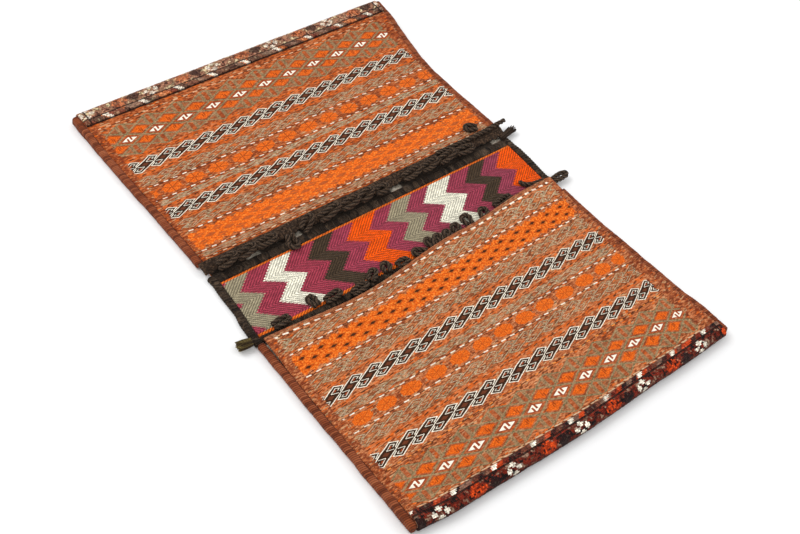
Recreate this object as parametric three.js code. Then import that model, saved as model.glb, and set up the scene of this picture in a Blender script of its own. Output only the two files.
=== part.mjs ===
// A flat-woven wool saddle bag, empty and lying flat: two pockets joined by a bridge of chevron work.
// Millimetres, +Z up. The origin is on the ground under the middle of the bag. X runs across the bag,
// Y along it: the near pocket is at -Y and the far pocket at +Y, and both mouths open at the bridge.
import * as THREE from "three";

// Driving dimensions of the cloth.
const WIDTH = 660; // across the closed end of each pocket
const LENGTH = 944; // from closed end to closed end
const CLOTH = 3.2; // thickness of the flat weave
const POCKET = 6.4; // slack inside an empty pocket
const PILE = 4.2; // height of the knotted pile that covers the closed ends
const PILE_REACH = 38; // how far the pile runs along the back from the fold
const NEAR_PILE_FACE = 16; // and along each face
const FAR_PILE_FACE = 26;
const GAP = 0.3; // clearance between neighbouring pieces

// The mouths and the bridge, as distances along Y from the middle of the bag.
const FAR_MOUTH = 87; // where the far face's weave ends and its dark edge begins
const FAR_EDGE = 15; // width of that dark edge
const FAR_BACK_END = 54; // where the far pocket's back is sewn to the bridge
const NEAR_BACK_END = 90; // where the near pocket's back is sewn to the bridge
const BRIDGE_FAR = 43; // edges of the chevron work
const BRIDGE_NEAR = 77;
const BRIDGE_THICK = 5.6;
const EDGE_THICK = 6.2; // the bound edges of the bridge
const NEAR_MOUTH_LIFT = 6.2; // the near face lies on its closure loops
const FAR_MOUTH_LIFT = 1.6;
const LIFT_RUN = 80; // length over which a face comes down from its lifted mouth

// Sewn sides.
const SEAM = 12; // width of the oversewn sides of the pockets
const BINDING = 14; // width of the wrapped sides of the bridge

// Closure loops and the loose ends at the corners.
const CORD = 7.6; // diameter of a closure loop's braided cord
const CORD_SIDES = 8;
const LEG_GAP = CORD + 0.6; // the two sewn legs of a loop, centre to centre

const COLOURS = {
  weave: 0xb0663c,
  pile: 0x6b2a1c,
  seam: 0x8a3f2a,
  goatHair: 0x3a2c24,
  chevrons: 0x9c3d55,
  tuft: 0x5a4a30,
};

const cloth = (colour, roughness) =>
  new THREE.MeshStandardMaterial({ color: colour, roughness, metalness: 0 });

const MATERIALS = {
  weave: cloth(COLOURS.weave, 0.92),
  pile: cloth(COLOURS.pile, 0.98),
  seam: cloth(COLOURS.seam, 0.93),
  goatHair: cloth(COLOURS.goatHair, 0.88),
  chevrons: cloth(COLOURS.chevrons, 0.9),
  tuft: cloth(COLOURS.tuft, 0.95),
};

// A smooth value between listed stations [at, value], eased so that it passes through each of them.
function eased(stations) {
  return (at) => {
    const next = stations.findIndex(([a]) => a > at);
    if (next < 0) return stations.at(-1)[1];
    if (next === 0) return stations[0][1];
    const [a0, v0] = stations[next - 1];
    const [a1, v1] = stations[next];
    return THREE.MathUtils.lerp(v0, v1, THREE.MathUtils.smoothstep(at, a0, a1));
  };
}

// The bag's outline: its sides bow in between the closed ends, the right-hand one the most.
const HALF_W = WIDTH / 2;
const HALF_L = LENGTH / 2;
const leftSide = eased([
  [-HALF_L, -HALF_W],
  [-100, -HALF_W],
  [50, -HALF_W + 8],
  [HALF_L, -HALF_W],
]);
const rightSide = eased([
  [-HALF_L, HALF_W],
  [-105, HALF_W - 27],
  [55, HALF_W - 22],
  [250, HALF_W - 28],
  [HALF_L, HALF_W],
]);

// The near mouth runs askew: its face reaches further over the bridge at the right.
const NEAR_MOUTH = 80; // on average
const SKEW_RUN = 200; // the slant dies out over this length of the face
const nearSkew = eased([
  [-HALF_W, 10],
  [-150, 19],
  [80, -4],
  [260, -18],
]);

const bags = {
  near: {
    end: -1,
    mouth: NEAR_MOUTH,
    skew: nearSkew,
    lift: NEAR_MOUTH_LIFT,
    backEnd: NEAR_BACK_END,
    pileFace: NEAR_PILE_FACE,
  },
  far: {
    end: 1,
    mouth: FAR_MOUTH,
    skew: () => 0,
    lift: FAR_MOUTH_LIFT,
    backEnd: FAR_BACK_END,
    pileFace: FAR_PILE_FACE,
  },
};

// Heights. Towards each closed end the cloth rises on the pile that wraps under it.
const FOLD_R = (CLOTH + POCKET) / 2; // of the cloth's middle, round the closed end
const FOLD_AT = HALF_L - PILE - GAP - CLOTH / 2 - FOLD_R; // where the fold begins
const END_RISE = PILE + GAP;
const RISE_FROM = FOLD_AT - PILE_REACH - 55;
const RISE_TO = FOLD_AT - PILE_REACH - 4;
const endRise = (distance) =>
  END_RISE * THREE.MathUtils.smoothstep(distance, RISE_FROM, RISE_TO);
const backHeight = (distance) => CLOTH / 2 + endRise(distance);
const faceHeight = (distance, mouth, lift) =>
  backHeight(distance) +
  2 * FOLD_R +
  lift * (1 - THREE.MathUtils.smoothstep(distance, mouth, mouth + LIFT_RUN));

// Stations along a pocket's cloth: distances from the bag's middle on its face and on its back, and
// angles round the fold. Each list is joined from runs of even steps, [from, to, steps].
const FOLD_STEPS = 6;
const range = (count, value) => Array.from({ length: count + 1 }, (_, i) => value(i / count));
const stretch = (part, runs) =>
  runs.flatMap(([from, to, steps], run) =>
    range(steps, (t) => ({ part, at: from + (to - from) * t })).slice(run ? 1 : 0),
  );
const roundFold = range(FOLD_STEPS, (t) => ({ part: "fold", at: Math.PI * t })).slice(1, -1);

// The middle of the cloth at a station, as a distance from the bag's middle, a height and a normal.
function clothAt(bag, { part, at }, x) {
  if (part === "fold") {
    const out = [Math.sin(at), Math.cos(at)];
    const centre = backHeight(FOLD_AT) + FOLD_R;
    return { distance: FOLD_AT + FOLD_R * out[0], height: centre + FOLD_R * out[1], out };
  }
  if (part === "back") return { distance: at, height: backHeight(at), out: [0, -1] };
  const fading = 1 - THREE.MathUtils.smoothstep(at, bag.mouth, bag.mouth + SKEW_RUN);
  return {
    distance: at + bag.skew(x) * fading,
    height: faceHeight(at, bag.mouth, bag.lift),
    out: [0, 1],
  };
}

// Gives a box a new shape: place() turns each corner's fractions across, along and through
// (each from 0 to 1) into its point. A mirroring place() needs its faces turned round.
function shaped(columns, rows, layers, mirrored, place) {
  const geometry = new THREE.BoxGeometry(1, 1, 1, columns, rows, layers).toNonIndexed();
  const corners = geometry.attributes.position;
  const corner = new THREE.Vector3();
  for (let i = 0; i < corners.count; i++) {
    corner.fromBufferAttribute(corners, i).addScalar(0.5);
    corners.setXYZ(i, ...place(corner.x, corner.y, corner.z));
  }
  if (mirrored) {
    for (let i = 0; i < corners.count; i += 3) {
      const second = [corners.getX(i + 1), corners.getY(i + 1), corners.getZ(i + 1)];
      corners.setXYZ(i + 1, corners.getX(i + 2), corners.getY(i + 2), corners.getZ(i + 2));
      corners.setXYZ(i + 2, ...second);
    }
  }
  return geometry;
}

// A layer of cloth along a pocket's path, thickness thick and offset outwards from the cloth's middle.
function pocketLayer(bag, stations, thickness, offset, columns) {
  const rows = stations.length - 1;
  return shaped(columns, rows, 1, bag.end < 0, (across, along, through) => {
    const station = stations[Math.round(along * rows)];
    const inset = SEAM + 2 * GAP;
    const side = across < 0.5 ? -HALF_W : HALF_W;
    const y = clothAt(bag, station, side).distance * bag.end;
    const x = THREE.MathUtils.lerp(leftSide(y) + inset, rightSide(y) - inset, across);
    const { distance, height, out } = clothAt(bag, station, x);
    const shift = offset + (through - 0.5) * thickness;
    return [x, bag.end * (distance + shift * out[0]), height + shift * out[1]];
  });
}

const CLOTH_COLUMNS = 8;
const pocketStations = (bag) => [
  ...stretch("face", [
    [bag.mouth, bag.mouth + LIFT_RUN, 4],
    [bag.mouth + LIFT_RUN, RISE_FROM, 4],
    [RISE_FROM, RISE_TO, 4],
    [RISE_TO, FOLD_AT, 1],
  ]),
  ...roundFold,
  ...stretch("back", [
    [FOLD_AT, RISE_TO, 1],
    [RISE_TO, RISE_FROM, 4],
    [RISE_FROM, bag.backEnd, 5],
  ]),
];

// The pile covers the fold and a strip of the face and of the back.
const pileStations = (bag) => [
  ...stretch("face", [[FOLD_AT - bag.pileFace, FOLD_AT, 2]]),
  ...roundFold,
  ...stretch("back", [[FOLD_AT, FOLD_AT - PILE_REACH, 2]]),
];
const PILE_OFFSET = CLOTH / 2 + GAP + PILE / 2;

// A sewn or wrapped edge: a bar of eight-sided section whose corners are drawn in.
const CORNER_DRAWN_IN = 0.8;
function edgeBar(rows, mirrored, place) {
  return shaped(2, rows, 2, mirrored, (across, along, through) => {
    const corner = Math.abs(2 * across - 1) + Math.abs(2 * through - 1) > 1.5;
    const keep = (fraction) => (corner ? 0.5 + (fraction - 0.5) * CORNER_DRAWN_IN : fraction);
    return place(keep(across), along, keep(through));
  });
}

// An edge that follows one side of the bag from y0 to y1, width wide inwards and as high as height(y).
function sideEdge(side, y0, y1, width, height, rows) {
  const outline = side < 0 ? leftSide : rightSide;
  return edgeBar(rows, side * (y1 - y0) > 0, (across, along, through) => {
    const y = y0 + (y1 - y0) * along;
    return [outline(y) - side * width * across, y, height(y) * through];
  });
}

// An edge that runs across the bag between two distances along Y, on the ground or lifted.
function crossEdge(y0, y1, inset, bottom, top, rows) {
  const middle = (y0 + y1) / 2;
  const from = leftSide(middle) + inset;
  const to = rightSide(middle) - inset;
  return edgeBar(rows, true, (across, along, through) => [
    from + (to - from) * along,
    y0 + (y1 - y0) * across,
    bottom + (top - bottom) * through,
  ]);
}

function bridgePanel() {
  const inset = BINDING + GAP;
  return shaped(CLOTH_COLUMNS, 6, 1, false, (across, along, through) => {
    const y = -BRIDGE_NEAR + (BRIDGE_FAR + BRIDGE_NEAR) * along;
    return [
      THREE.MathUtils.lerp(leftSide(y) + inset, rightSide(y) - inset, across),
      y,
      BRIDGE_THICK * through,
    ];
  });
}

// Where a loose cord comes to rest: on the far face's edge, down across the gap of the far mouth,
// and on the bridge's bound edges and chevrons.
const FAR_EDGE_TOP = faceHeight(FAR_MOUTH, FAR_MOUTH, FAR_MOUTH_LIFT) + CLOTH / 2;
const EDGE_AT = FAR_MOUTH - FAR_EDGE;
const restHeight = (y) =>
  THREE.MathUtils.lerp(
    EDGE_THICK,
    FAR_EDGE_TOP,
    THREE.MathUtils.smoothstep(y, EDGE_AT - 2.6 * CORD, EDGE_AT - CORD / 2),
  ) +
  CORD / 2 +
  2 * GAP;

function cordSolid(points, diameter, steps) {
  const section = new THREE.Shape(
    range(CORD_SIDES - 1, (t) => {
      const angle = 2 * Math.PI * t * ((CORD_SIDES - 1) / CORD_SIDES);
      return new THREE.Vector2(Math.cos(angle), Math.sin(angle)).multiplyScalar(diameter / 2);
    }),
  );
  const extrudePath = new THREE.CatmullRomCurve3(points.map((p) => new THREE.Vector3(...p)));
  return new THREE.ExtrudeGeometry(section, { steps, extrudePath, bevelEnabled: false });
}

// A closure loop: its two legs are sewn down side by side, and its eye lies at a heading in degrees.
// reach runs from the sewn end to the middle of the eye, which is wide and long along the cord's middle.
// The tip rises by rise where it crosses the foot of the next loop.
const LOOP_STEPS = 14;
const EYE_TURN = (130 * Math.PI) / 180;
const EYE_ENDS = 1.6; // how soon a long eye's straight sides give way to its round ends
function loopPoints({ at, heading, reach, wide, long, rise }) {
  const eye = range(8, (t) => {
    const angle = -EYE_TURN + 2 * EYE_TURN * t;
    const end = THREE.MathUtils.clamp(EYE_ENDS * Math.cos(angle), -1, 1);
    return [
      ((long - wide) / 2) * end + (wide / 2) * Math.cos(angle),
      (wide / 2) * Math.sin(angle),
    ];
  });
  const flat = [[-reach, -LEG_GAP / 2], ...eye, [-reach, LEG_GAP / 2]];
  const turn = THREE.MathUtils.degToRad(heading);
  const total = reach + long / 2;
  return flat.map(([forward, aside]) => {
    const x = at[0] + forward * Math.cos(turn) - aside * Math.sin(turn);
    const y = at[1] + forward * Math.sin(turn) + aside * Math.cos(turn);
    return [x, y, restHeight(y) + rise * ((forward + reach) / total) ** 2];
  });
}

// The loops, from left to right: where the eye lies, its heading, reach, width, length and rise.
const CHAIN_RISE = 8.6;
const loop = (x, y, heading, reach, wide, long, rise = 0) => ({
  at: [x, y],
  heading,
  reach,
  wide,
  long,
  rise,
});
const farLoops = [
  loop(-283, 66, 2, 17, 11, 34, CHAIN_RISE),
  loop(-247, 66, 1, 17, 11, 32, CHAIN_RISE),
  loop(-208, 68, -8, 18, 10, 34, CHAIN_RISE),
  loop(-166, 47, -95, 17, 16, 17),
  loop(-126, 67, 30, 16, 13, 22, CHAIN_RISE),
  loop(-84, 66, 4, 20, 11, 40, CHAIN_RISE),
  loop(-41, 66, -2, 17, 11, 32, CHAIN_RISE),
  loop(-5, 67, 6, 14, 12, 24, CHAIN_RISE),
  loop(27, 66, 0, 13, 11, 26),
  loop(92, 67, 0, 18, 11, 34, CHAIN_RISE),
  loop(131, 67, 0, 17, 11, 32, CHAIN_RISE),
  loop(170, 67, 1, 17, 11, 32, CHAIN_RISE),
  loop(211, 67, -4, 18, 11, 36),
  loop(256, 104, 150, 14, 13, 18),
];
const nearLoops = [
  loop(-274, -73, 5, 16, 11, 30),
  loop(-209, -63, 98, 15, 12, 15),
  loop(-175, -74, 8, 18, 11, 28),
  loop(-130, -84, 10, 18, 10, 30),
  loop(-96, -72, 40, 14, 11, 22),
  loop(-67, -70, 70, 12, 13, 16),
  loop(-38, -77, 5, 13, 11, 22),
  loop(0, -74, 150, 15, 12, 22),
  loop(27, -65, 105, 14, 11, 14),
  loop(46, -66, 100, 14, 10.5, 14),
  loop(65, -67, 85, 14, 9.5, 14),
  loop(86, -63, 80, 14, 13, 14),
  loop(114, -57, 85, 15, 15.5, 15.5),
  loop(150, -61, 60, 14, 14, 17),
  loop(196, -58, 8, 22, 11, 34),
];

// Loose cords and cut ends at the corners of the bridge, as points along their middles.
const onEdge = (x, y, lift = 0) => [x, y, restHeight(y) + lift];
const farTie = [
  onEdge(160, 83),
  onEdge(200, 83.5),
  onEdge(240, 82.5),
  onEdge(280, 84),
  onEdge(308, 86),
  onEdge(326, 88, -1.5),
];
const nearTie = [
  onEdge(252, -37),
  onEdge(254, -46),
  onEdge(263, -53),
  onEdge(278, -56),
  onEdge(296, -57),
];
const cornerLoop = loop(322, -66, 3, 16, 10, 30);
const TASSEL = { root: [296, 61], tip: [334, 70], rootR: 4.5, tipR: 8, height: 8.4 };
const TUFT = { root: [-333.5, -81], tip: [-357, -78], rootR: 8, tipR: 9.5, height: 10 };

// A brush of cut yarn: a round bar that widens from its root to its cut tip.
function brush({ root, tip, rootR, tipR, height }) {
  const from = new THREE.Vector3(...root, height);
  const to = new THREE.Vector3(...tip, height);
  const along = to.clone().sub(from);
  return new THREE.CylinderGeometry(tipR, rootR, along.length(), 10, 2)
    .translate(0, along.length() / 2, 0)
    .applyQuaternion(
      new THREE.Quaternion().setFromUnitVectors(new THREE.Vector3(0, 1, 0), along.normalize()),
    )
    .translate(from.x, from.y, from.z);
}

const model = new THREE.Group();
model.name = "saddle_bag";
const add = (name, geometry, material) => {
  const mesh = new THREE.Mesh(geometry, material);
  mesh.name = name;
  model.add(mesh);
};

for (const [name, bag] of Object.entries(bags)) {
  add(
    `${name}_pocket_cloth`,
    pocketLayer(bag, pocketStations(bag), CLOTH, 0, CLOTH_COLUMNS),
    MATERIALS.weave,
  );
  add(
    `${name}_pile_strip`,
    pocketLayer(bag, pileStations(bag), PILE, PILE_OFFSET, CLOTH_COLUMNS),
    MATERIALS.pile,
  );
}

const seamHeight = (y) => {
  const bag = y < 0 ? bags.near : bags.far;
  return faceHeight(Math.abs(y), bag.mouth, 0) + CLOTH / 2 + GAP;
};
const SEAM_END = HALF_L - 3;
for (const [sideName, side] of [["left", -1], ["right", 1]]) {
  add(
    `near_seam_${sideName}`,
    sideEdge(side, -NEAR_BACK_END - GAP, -SEAM_END, SEAM, seamHeight, 10),
    MATERIALS.seam,
  );
  add(
    `far_seam_${sideName}`,
    sideEdge(side, FAR_MOUTH + GAP, SEAM_END, SEAM, seamHeight, 10),
    MATERIALS.seam,
  );
  add(
    `bridge_binding_${sideName}`,
    sideEdge(side, -NEAR_BACK_END, FAR_BACK_END, BINDING, () => EDGE_THICK, 4),
    MATERIALS.goatHair,
  );
}

add("bridge_panel", bridgePanel(), MATERIALS.chevrons);
add(
  "bridge_binding_near",
  crossEdge(-NEAR_BACK_END + GAP, -BRIDGE_NEAR - GAP, BINDING + 2 * GAP, 0, EDGE_THICK, 6),
  MATERIALS.goatHair,
);
add(
  "bridge_binding_far",
  crossEdge(BRIDGE_FAR + GAP, FAR_BACK_END - GAP, BINDING + 2 * GAP, 0, EDGE_THICK, 6),
  MATERIALS.goatHair,
);
add(
  "far_mouth_edge",
  crossEdge(
    EDGE_AT,
    FAR_MOUTH - GAP,
    1,
    FAR_EDGE_TOP - CLOTH - GAP,
    FAR_EDGE_TOP,
    8,
  ),
  MATERIALS.goatHair,
);

farLoops.forEach((l, i) =>
  add(`far_loop_${i + 1}`, cordSolid(loopPoints(l), CORD, LOOP_STEPS), MATERIALS.goatHair),
);
nearLoops.forEach((l, i) =>
  add(`near_loop_${i + 1}`, cordSolid(loopPoints(l), CORD, LOOP_STEPS), MATERIALS.goatHair),
);
add("corner_loop", cordSolid(loopPoints(cornerLoop), CORD, LOOP_STEPS), MATERIALS.goatHair);
add("far_tie_cord", cordSolid(farTie, CORD, 16), MATERIALS.goatHair);
add("near_tie_cord", cordSolid(nearTie, CORD, 8), MATERIALS.goatHair);
add("corner_tassel", brush(TASSEL), MATERIALS.goatHair);
add("corner_tuft", brush(TUFT), MATERIALS.tuft);

export default model;
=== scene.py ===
"""A flat-woven wool saddle bag lying flat: the looks of its cloth, pile, chevron bridge and braided loops.

Metres, +Z up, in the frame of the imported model. Cloth is laid out in millimetres across and along the bag
and turned into metres by MM as each mesh is made. X runs across the bag and Y along it: the near pocket
lies at -Y, the far pocket at +Y, and both mouths open at the bridge between them.
"""

import math

import bpy
import numpy as np
from mathutils import Matrix, Vector


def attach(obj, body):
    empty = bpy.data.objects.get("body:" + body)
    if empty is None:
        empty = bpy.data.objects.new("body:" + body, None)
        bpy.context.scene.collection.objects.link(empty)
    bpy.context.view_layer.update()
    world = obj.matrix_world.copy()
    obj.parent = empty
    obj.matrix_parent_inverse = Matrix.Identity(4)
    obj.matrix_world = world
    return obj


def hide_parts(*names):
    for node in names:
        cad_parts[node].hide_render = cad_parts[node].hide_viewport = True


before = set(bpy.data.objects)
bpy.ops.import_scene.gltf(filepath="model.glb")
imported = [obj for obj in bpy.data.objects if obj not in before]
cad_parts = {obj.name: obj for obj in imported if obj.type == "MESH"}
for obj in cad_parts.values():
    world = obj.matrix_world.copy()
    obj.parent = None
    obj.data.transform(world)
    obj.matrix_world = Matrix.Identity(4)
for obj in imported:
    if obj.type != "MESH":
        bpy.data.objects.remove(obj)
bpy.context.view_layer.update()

MM = 0.001
BODY = "root"
rng = np.random.default_rng(11)

# --- camera

EYE = Vector((-1.0870, -1.0406, 1.6272))
LOOK = Vector((0.48389, 0.44621, -0.75283))
LENS = 60.04
SENSOR = 36.0
VIEW_UP = Vector((0.39772, 0.65415, 0.64336))


def make_camera():
    data = bpy.data.cameras.new("camera")
    data.lens = LENS
    data.sensor_width = SENSOR
    data.clip_start = 0.05
    data.clip_end = 50
    camera = bpy.data.objects.new("camera", data)
    back = -LOOK.normalized()
    right = VIEW_UP.cross(back).normalized()
    up = back.cross(right)
    camera.matrix_world = Matrix.Translation(EYE) @ Matrix((right, up, back)).transposed().to_4x4()
    bpy.context.scene.collection.objects.link(camera)
    bpy.context.scene.camera = camera


make_camera()

# --- layout of the cloth, in millimetres

WIDTH = 660
LENGTH = 944
HALF_W = WIDTH / 2
HALF_L = LENGTH / 2
CLOTH = 3.2
POCKET = 6.4
PILE = 4.2
PILE_BACK = 38
GAP = 0.3
FLOOR_GAP = 0.05
SEAM = 12
BINDING = 14
BRIDGE_FAR = 43
BRIDGE_NEAR = 77
BRIDGE_THICK = 5.6
EDGE_THICK = 6.2
FAR_EDGE = 15
NEAR_MOUTH = 80
FAR_MOUTH = 87
NEAR_BACK_END = 90
FAR_BACK_END = 54
LIFT_RUN = 80
FOLD_R = (CLOTH + POCKET) / 2
FOLD_AT = HALF_L - PILE - GAP - CLOTH / 2 - FOLD_R
END_RISE = PILE + GAP
RISE_FROM = FOLD_AT - PILE_BACK - 55
RISE_TO = FOLD_AT - PILE_BACK - 4


def smoothstep(value, start, end):
    t = np.clip((np.asarray(value, float) - start) / (end - start), 0, 1)
    return t * t * (3 - 2 * t)


def eased(stations):
    """A smooth value through the listed stations (at, value)."""

    def value(at):
        result = np.full(np.shape(at), float(stations[0][1]))
        for (a0, v0), (a1, v1) in zip(stations, stations[1:]):
            result = result + (v1 - v0) * smoothstep(at, a0, a1)
        return result

    return value


left_side = eased([(-HALF_L, -HALF_W), (-100, -HALF_W), (50, -HALF_W + 8), (HALF_L, -HALF_W)])
right_side = eased(
    [(-HALF_L, HALF_W), (-110, HALF_W - 19), (48, HALF_W - 18), (92, HALF_W - 22), (250, HALF_W - 28),
     (HALF_L, HALF_W)]
)
near_skew = eased([(-HALF_W, 10), (-150, 19), (80, -4), (260, -18)])
near_bow = eased([(-HALF_W, 0), (-250, 7), (0, 11), (190, 6), (HALF_W, 2)])


class Pocket:
    """One pocket: its end of the bag (-1 near, 1 far), its mouth, and how its woven rows wander."""

    def __init__(self, name, end, mouth, lift, back_end, pile_face, wander):
        self.name = name
        self.end = end
        self.mouth = mouth
        self.lift = lift
        self.back_end = back_end
        self.pile_face = pile_face
        self.wander = wander


near_fan = eased([(118, 0.047), (214, 0.042), (341, 0.032), (405, 0.0235), (446, 0.0)])
near_drift = eased([(141, 3.2), (214, 3.0), (341, 1.7), (405, 2.3), (446, 0.0)])
far_fan = eased([(150, 0), (250, 1), (385, 1), (FOLD_AT, 0)])
far_drift = eased([(FAR_MOUTH, 0), (108, -2.2), (420, -2.2), (445, 0)])


def near_wander(x, at):
    """How far the near face's rows stray from straight: they fan out, and follow the mouth only near it."""
    clear = smoothstep(at, NEAR_MOUTH, 114)
    return near_skew(x) * (1 - clear) + (near_drift(at) - near_fan(at) * x) * clear


def far_wander(x, at):
    return 4.3 * np.sin(np.clip(x / HALF_W, -1, 1) * math.pi / 2) * far_fan(at) + far_drift(at)


NEAR = Pocket("near", -1, NEAR_MOUTH, 6.2, NEAR_BACK_END, 16, near_wander)
FAR = Pocket("far", 1, FAR_MOUTH, 1.6, FAR_BACK_END, 26, far_wander)


def back_height(distance):
    return CLOTH / 2 + END_RISE * smoothstep(distance, RISE_FROM, RISE_TO)


def face_height(distance, mouth, lift):
    return back_height(distance) + 2 * FOLD_R + lift * (1 - smoothstep(distance, mouth, mouth + LIFT_RUN))


FAR_EDGE_TOP = float(face_height(FAR_MOUTH, FAR_MOUTH, FAR.lift)) + CLOTH / 2


NOISE = rng.random((64, 64))


def smooth_noise(x, y):
    """Value noise from -1 to 1, one cell to a unit, the same each run."""
    x, y = np.asarray(x, float), np.asarray(y, float)
    x0, y0 = np.floor(x).astype(int), np.floor(y).astype(int)
    tx, ty = x - x0, y - y0
    tx, ty = tx * tx * (3 - 2 * tx), ty * ty * (3 - 2 * ty)
    size = len(NOISE)

    def corner(i, j):
        return NOISE[(x0 + i) % size, (y0 + j) % size]

    low = corner(0, 0) * (1 - tx) + corner(1, 0) * tx
    high = corner(0, 1) * (1 - tx) + corner(1, 1) * tx
    return 2 * (low * (1 - ty) + high * ty) - 1


# --- meshes


def make_mesh(
    name, points, faces, materials, node, attribute, values, domain="POINT", face_slots=None
):
    """A piece that stands for a node of the part, from points in millimetres.

    values holds a vector for each point, or each corner of each face, which the materials read by the
    attribute's name; face_slots gives each face its material's place."""
    mesh = bpy.data.meshes.new(name)
    if isinstance(faces, np.ndarray):
        faces = faces.tolist()
    mesh.from_pydata((np.asarray(points, float) * MM).tolist(), [], faces)
    for material in materials:
        mesh.materials.append(material)
    if face_slots is not None:
        mesh.polygons.foreach_set("material_index", np.asarray(face_slots, np.int32))
    mesh.polygons.foreach_set("use_smooth", [True] * len(mesh.polygons))
    mesh.update()
    vectors = mesh.attributes.new(attribute, "FLOAT_VECTOR", domain)
    vectors.data.foreach_set("vector", np.asarray(values, np.float32).ravel())
    made = bpy.data.objects.new(name, mesh)
    bpy.context.scene.collection.objects.link(made)
    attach(made, BODY)
    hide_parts(node)
    return made


def grid_quads(rows, columns, start=0, wrap=False):
    """Quads between the points of a grid; wrap joins its last column to its first."""
    across = columns if wrap else columns - 1
    i, j = np.meshgrid(np.arange(rows - 1), np.arange(across), indexing="ij")
    k = (j + 1) % columns
    quads = np.stack([i * columns + j, i * columns + k, (i + 1) * columns + k, (i + 1) * columns + j], -1)
    return quads.reshape(-1, 4) + start


def unit(vectors):
    return vectors / np.maximum(np.linalg.norm(vectors, axis=1, keepdims=True), 1e-6)


def rings(middle, aside, up, out, high):
    """Points round each place of a route, so far out along aside and so high along up."""
    points = middle[:, None, :] + aside[:, None, :] * out[..., None] + up[:, None, :] * high[..., None]
    return points.reshape(-1, 3)


def ring_angles(count):
    return np.arange(count) * 2 * math.pi / count


def level_aside(heading):
    """The level direction to the left of each heading."""
    return np.stack([-heading[:, 1], heading[:, 0], np.zeros(len(heading))], -1)


def shell(top, bottom, flip):
    """A closed sheet from two grids of points, with its counts of top and bottom faces."""
    rows, columns = top.shape[:2]
    count = rows * columns
    upper = grid_quads(rows, columns)
    lower = grid_quads(rows, columns, count)[:, ::-1]
    grid = np.arange(count).reshape(rows, columns)
    rim = np.concatenate([grid[0, :-1], grid[:-1, -1], grid[-1, :0:-1], grid[:0:-1, 0]])
    following = np.roll(rim, -1)
    walls = np.stack([following, rim, rim + count, following + count], -1)
    faces = np.concatenate([upper, lower, walls])
    if flip:
        faces = faces[:, ::-1]
    points = np.concatenate([top.reshape(-1, 3), bottom.reshape(-1, 3)])
    return points, faces, len(upper), len(lower)


# --- material arithmetic


def rgb(red, green, blue):
    """A colour given from 0 to 255, as a shader takes it."""
    def channel(value):
        value /= 255
        return value / 12.92 if value <= 0.04045 else ((value + 0.055) / 1.055) ** 2.4
    return (channel(red), channel(green), channel(blue), 1.0)


def operation(name):
    def apply(self, *others, clamp=False):
        return self.web.math(name, self, *others, clamp=clamp)

    return apply


class Field:
    """A number that varies over a surface, with arithmetic that adds nodes to its material."""

    def __init__(self, web, socket):
        self.web = web
        self.socket = socket

    __add__ = __radd__ = operation("ADD")
    __sub__ = operation("SUBTRACT")
    __mul__ = __rmul__ = operation("MULTIPLY")
    __truediv__ = operation("DIVIDE")
    __abs__ = operation("ABSOLUTE")
    floor = operation("FLOOR")
    fraction = operation("FRACT")
    least = operation("MINIMUM")
    most = operation("MAXIMUM")
    multiply_add = operation("MULTIPLY_ADD")
    ping_pong = operation("PINGPONG")

    def __rsub__(self, other):
        return self.web.math("SUBTRACT", other, self)

    def scaled(self, factor, offset=0.0):
        return self.multiply_add(factor, offset)

    def cell(self, size):
        """The number of the cell of that size that the value is in."""
        return self.scaled(1 / size).floor()

    def below(self, edge, soft=0.5):
        """1 where the value is under edge and 0 above it, with a soft step."""
        if isinstance(edge, Field):
            return self.web.math("MULTIPLY_ADD", edge - self, 1 / soft, 0.5, clamp=True)
        return self.multiply_add(-1 / soft, edge / soft + 0.5, clamp=True)

    def above(self, edge, soft=0.5):
        return self.multiply_add(1 / soft, 0.5 - edge / soft, clamp=True)

    def fold(self, pitch):
        """The distance to the nearest whole multiple of pitch."""
        return self.ping_pong(pitch / 2)

    def centred(self, pitch):
        """The value less its nearest whole multiple of pitch."""
        return self.scaled(1 / pitch, 0.5).fraction().scaled(pitch, -pitch / 2)

    def stepped(self, size):
        """The value in steps, as a thread is either on the face or under it."""
        return self.cell(size).scaled(size, size / 2)


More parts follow.
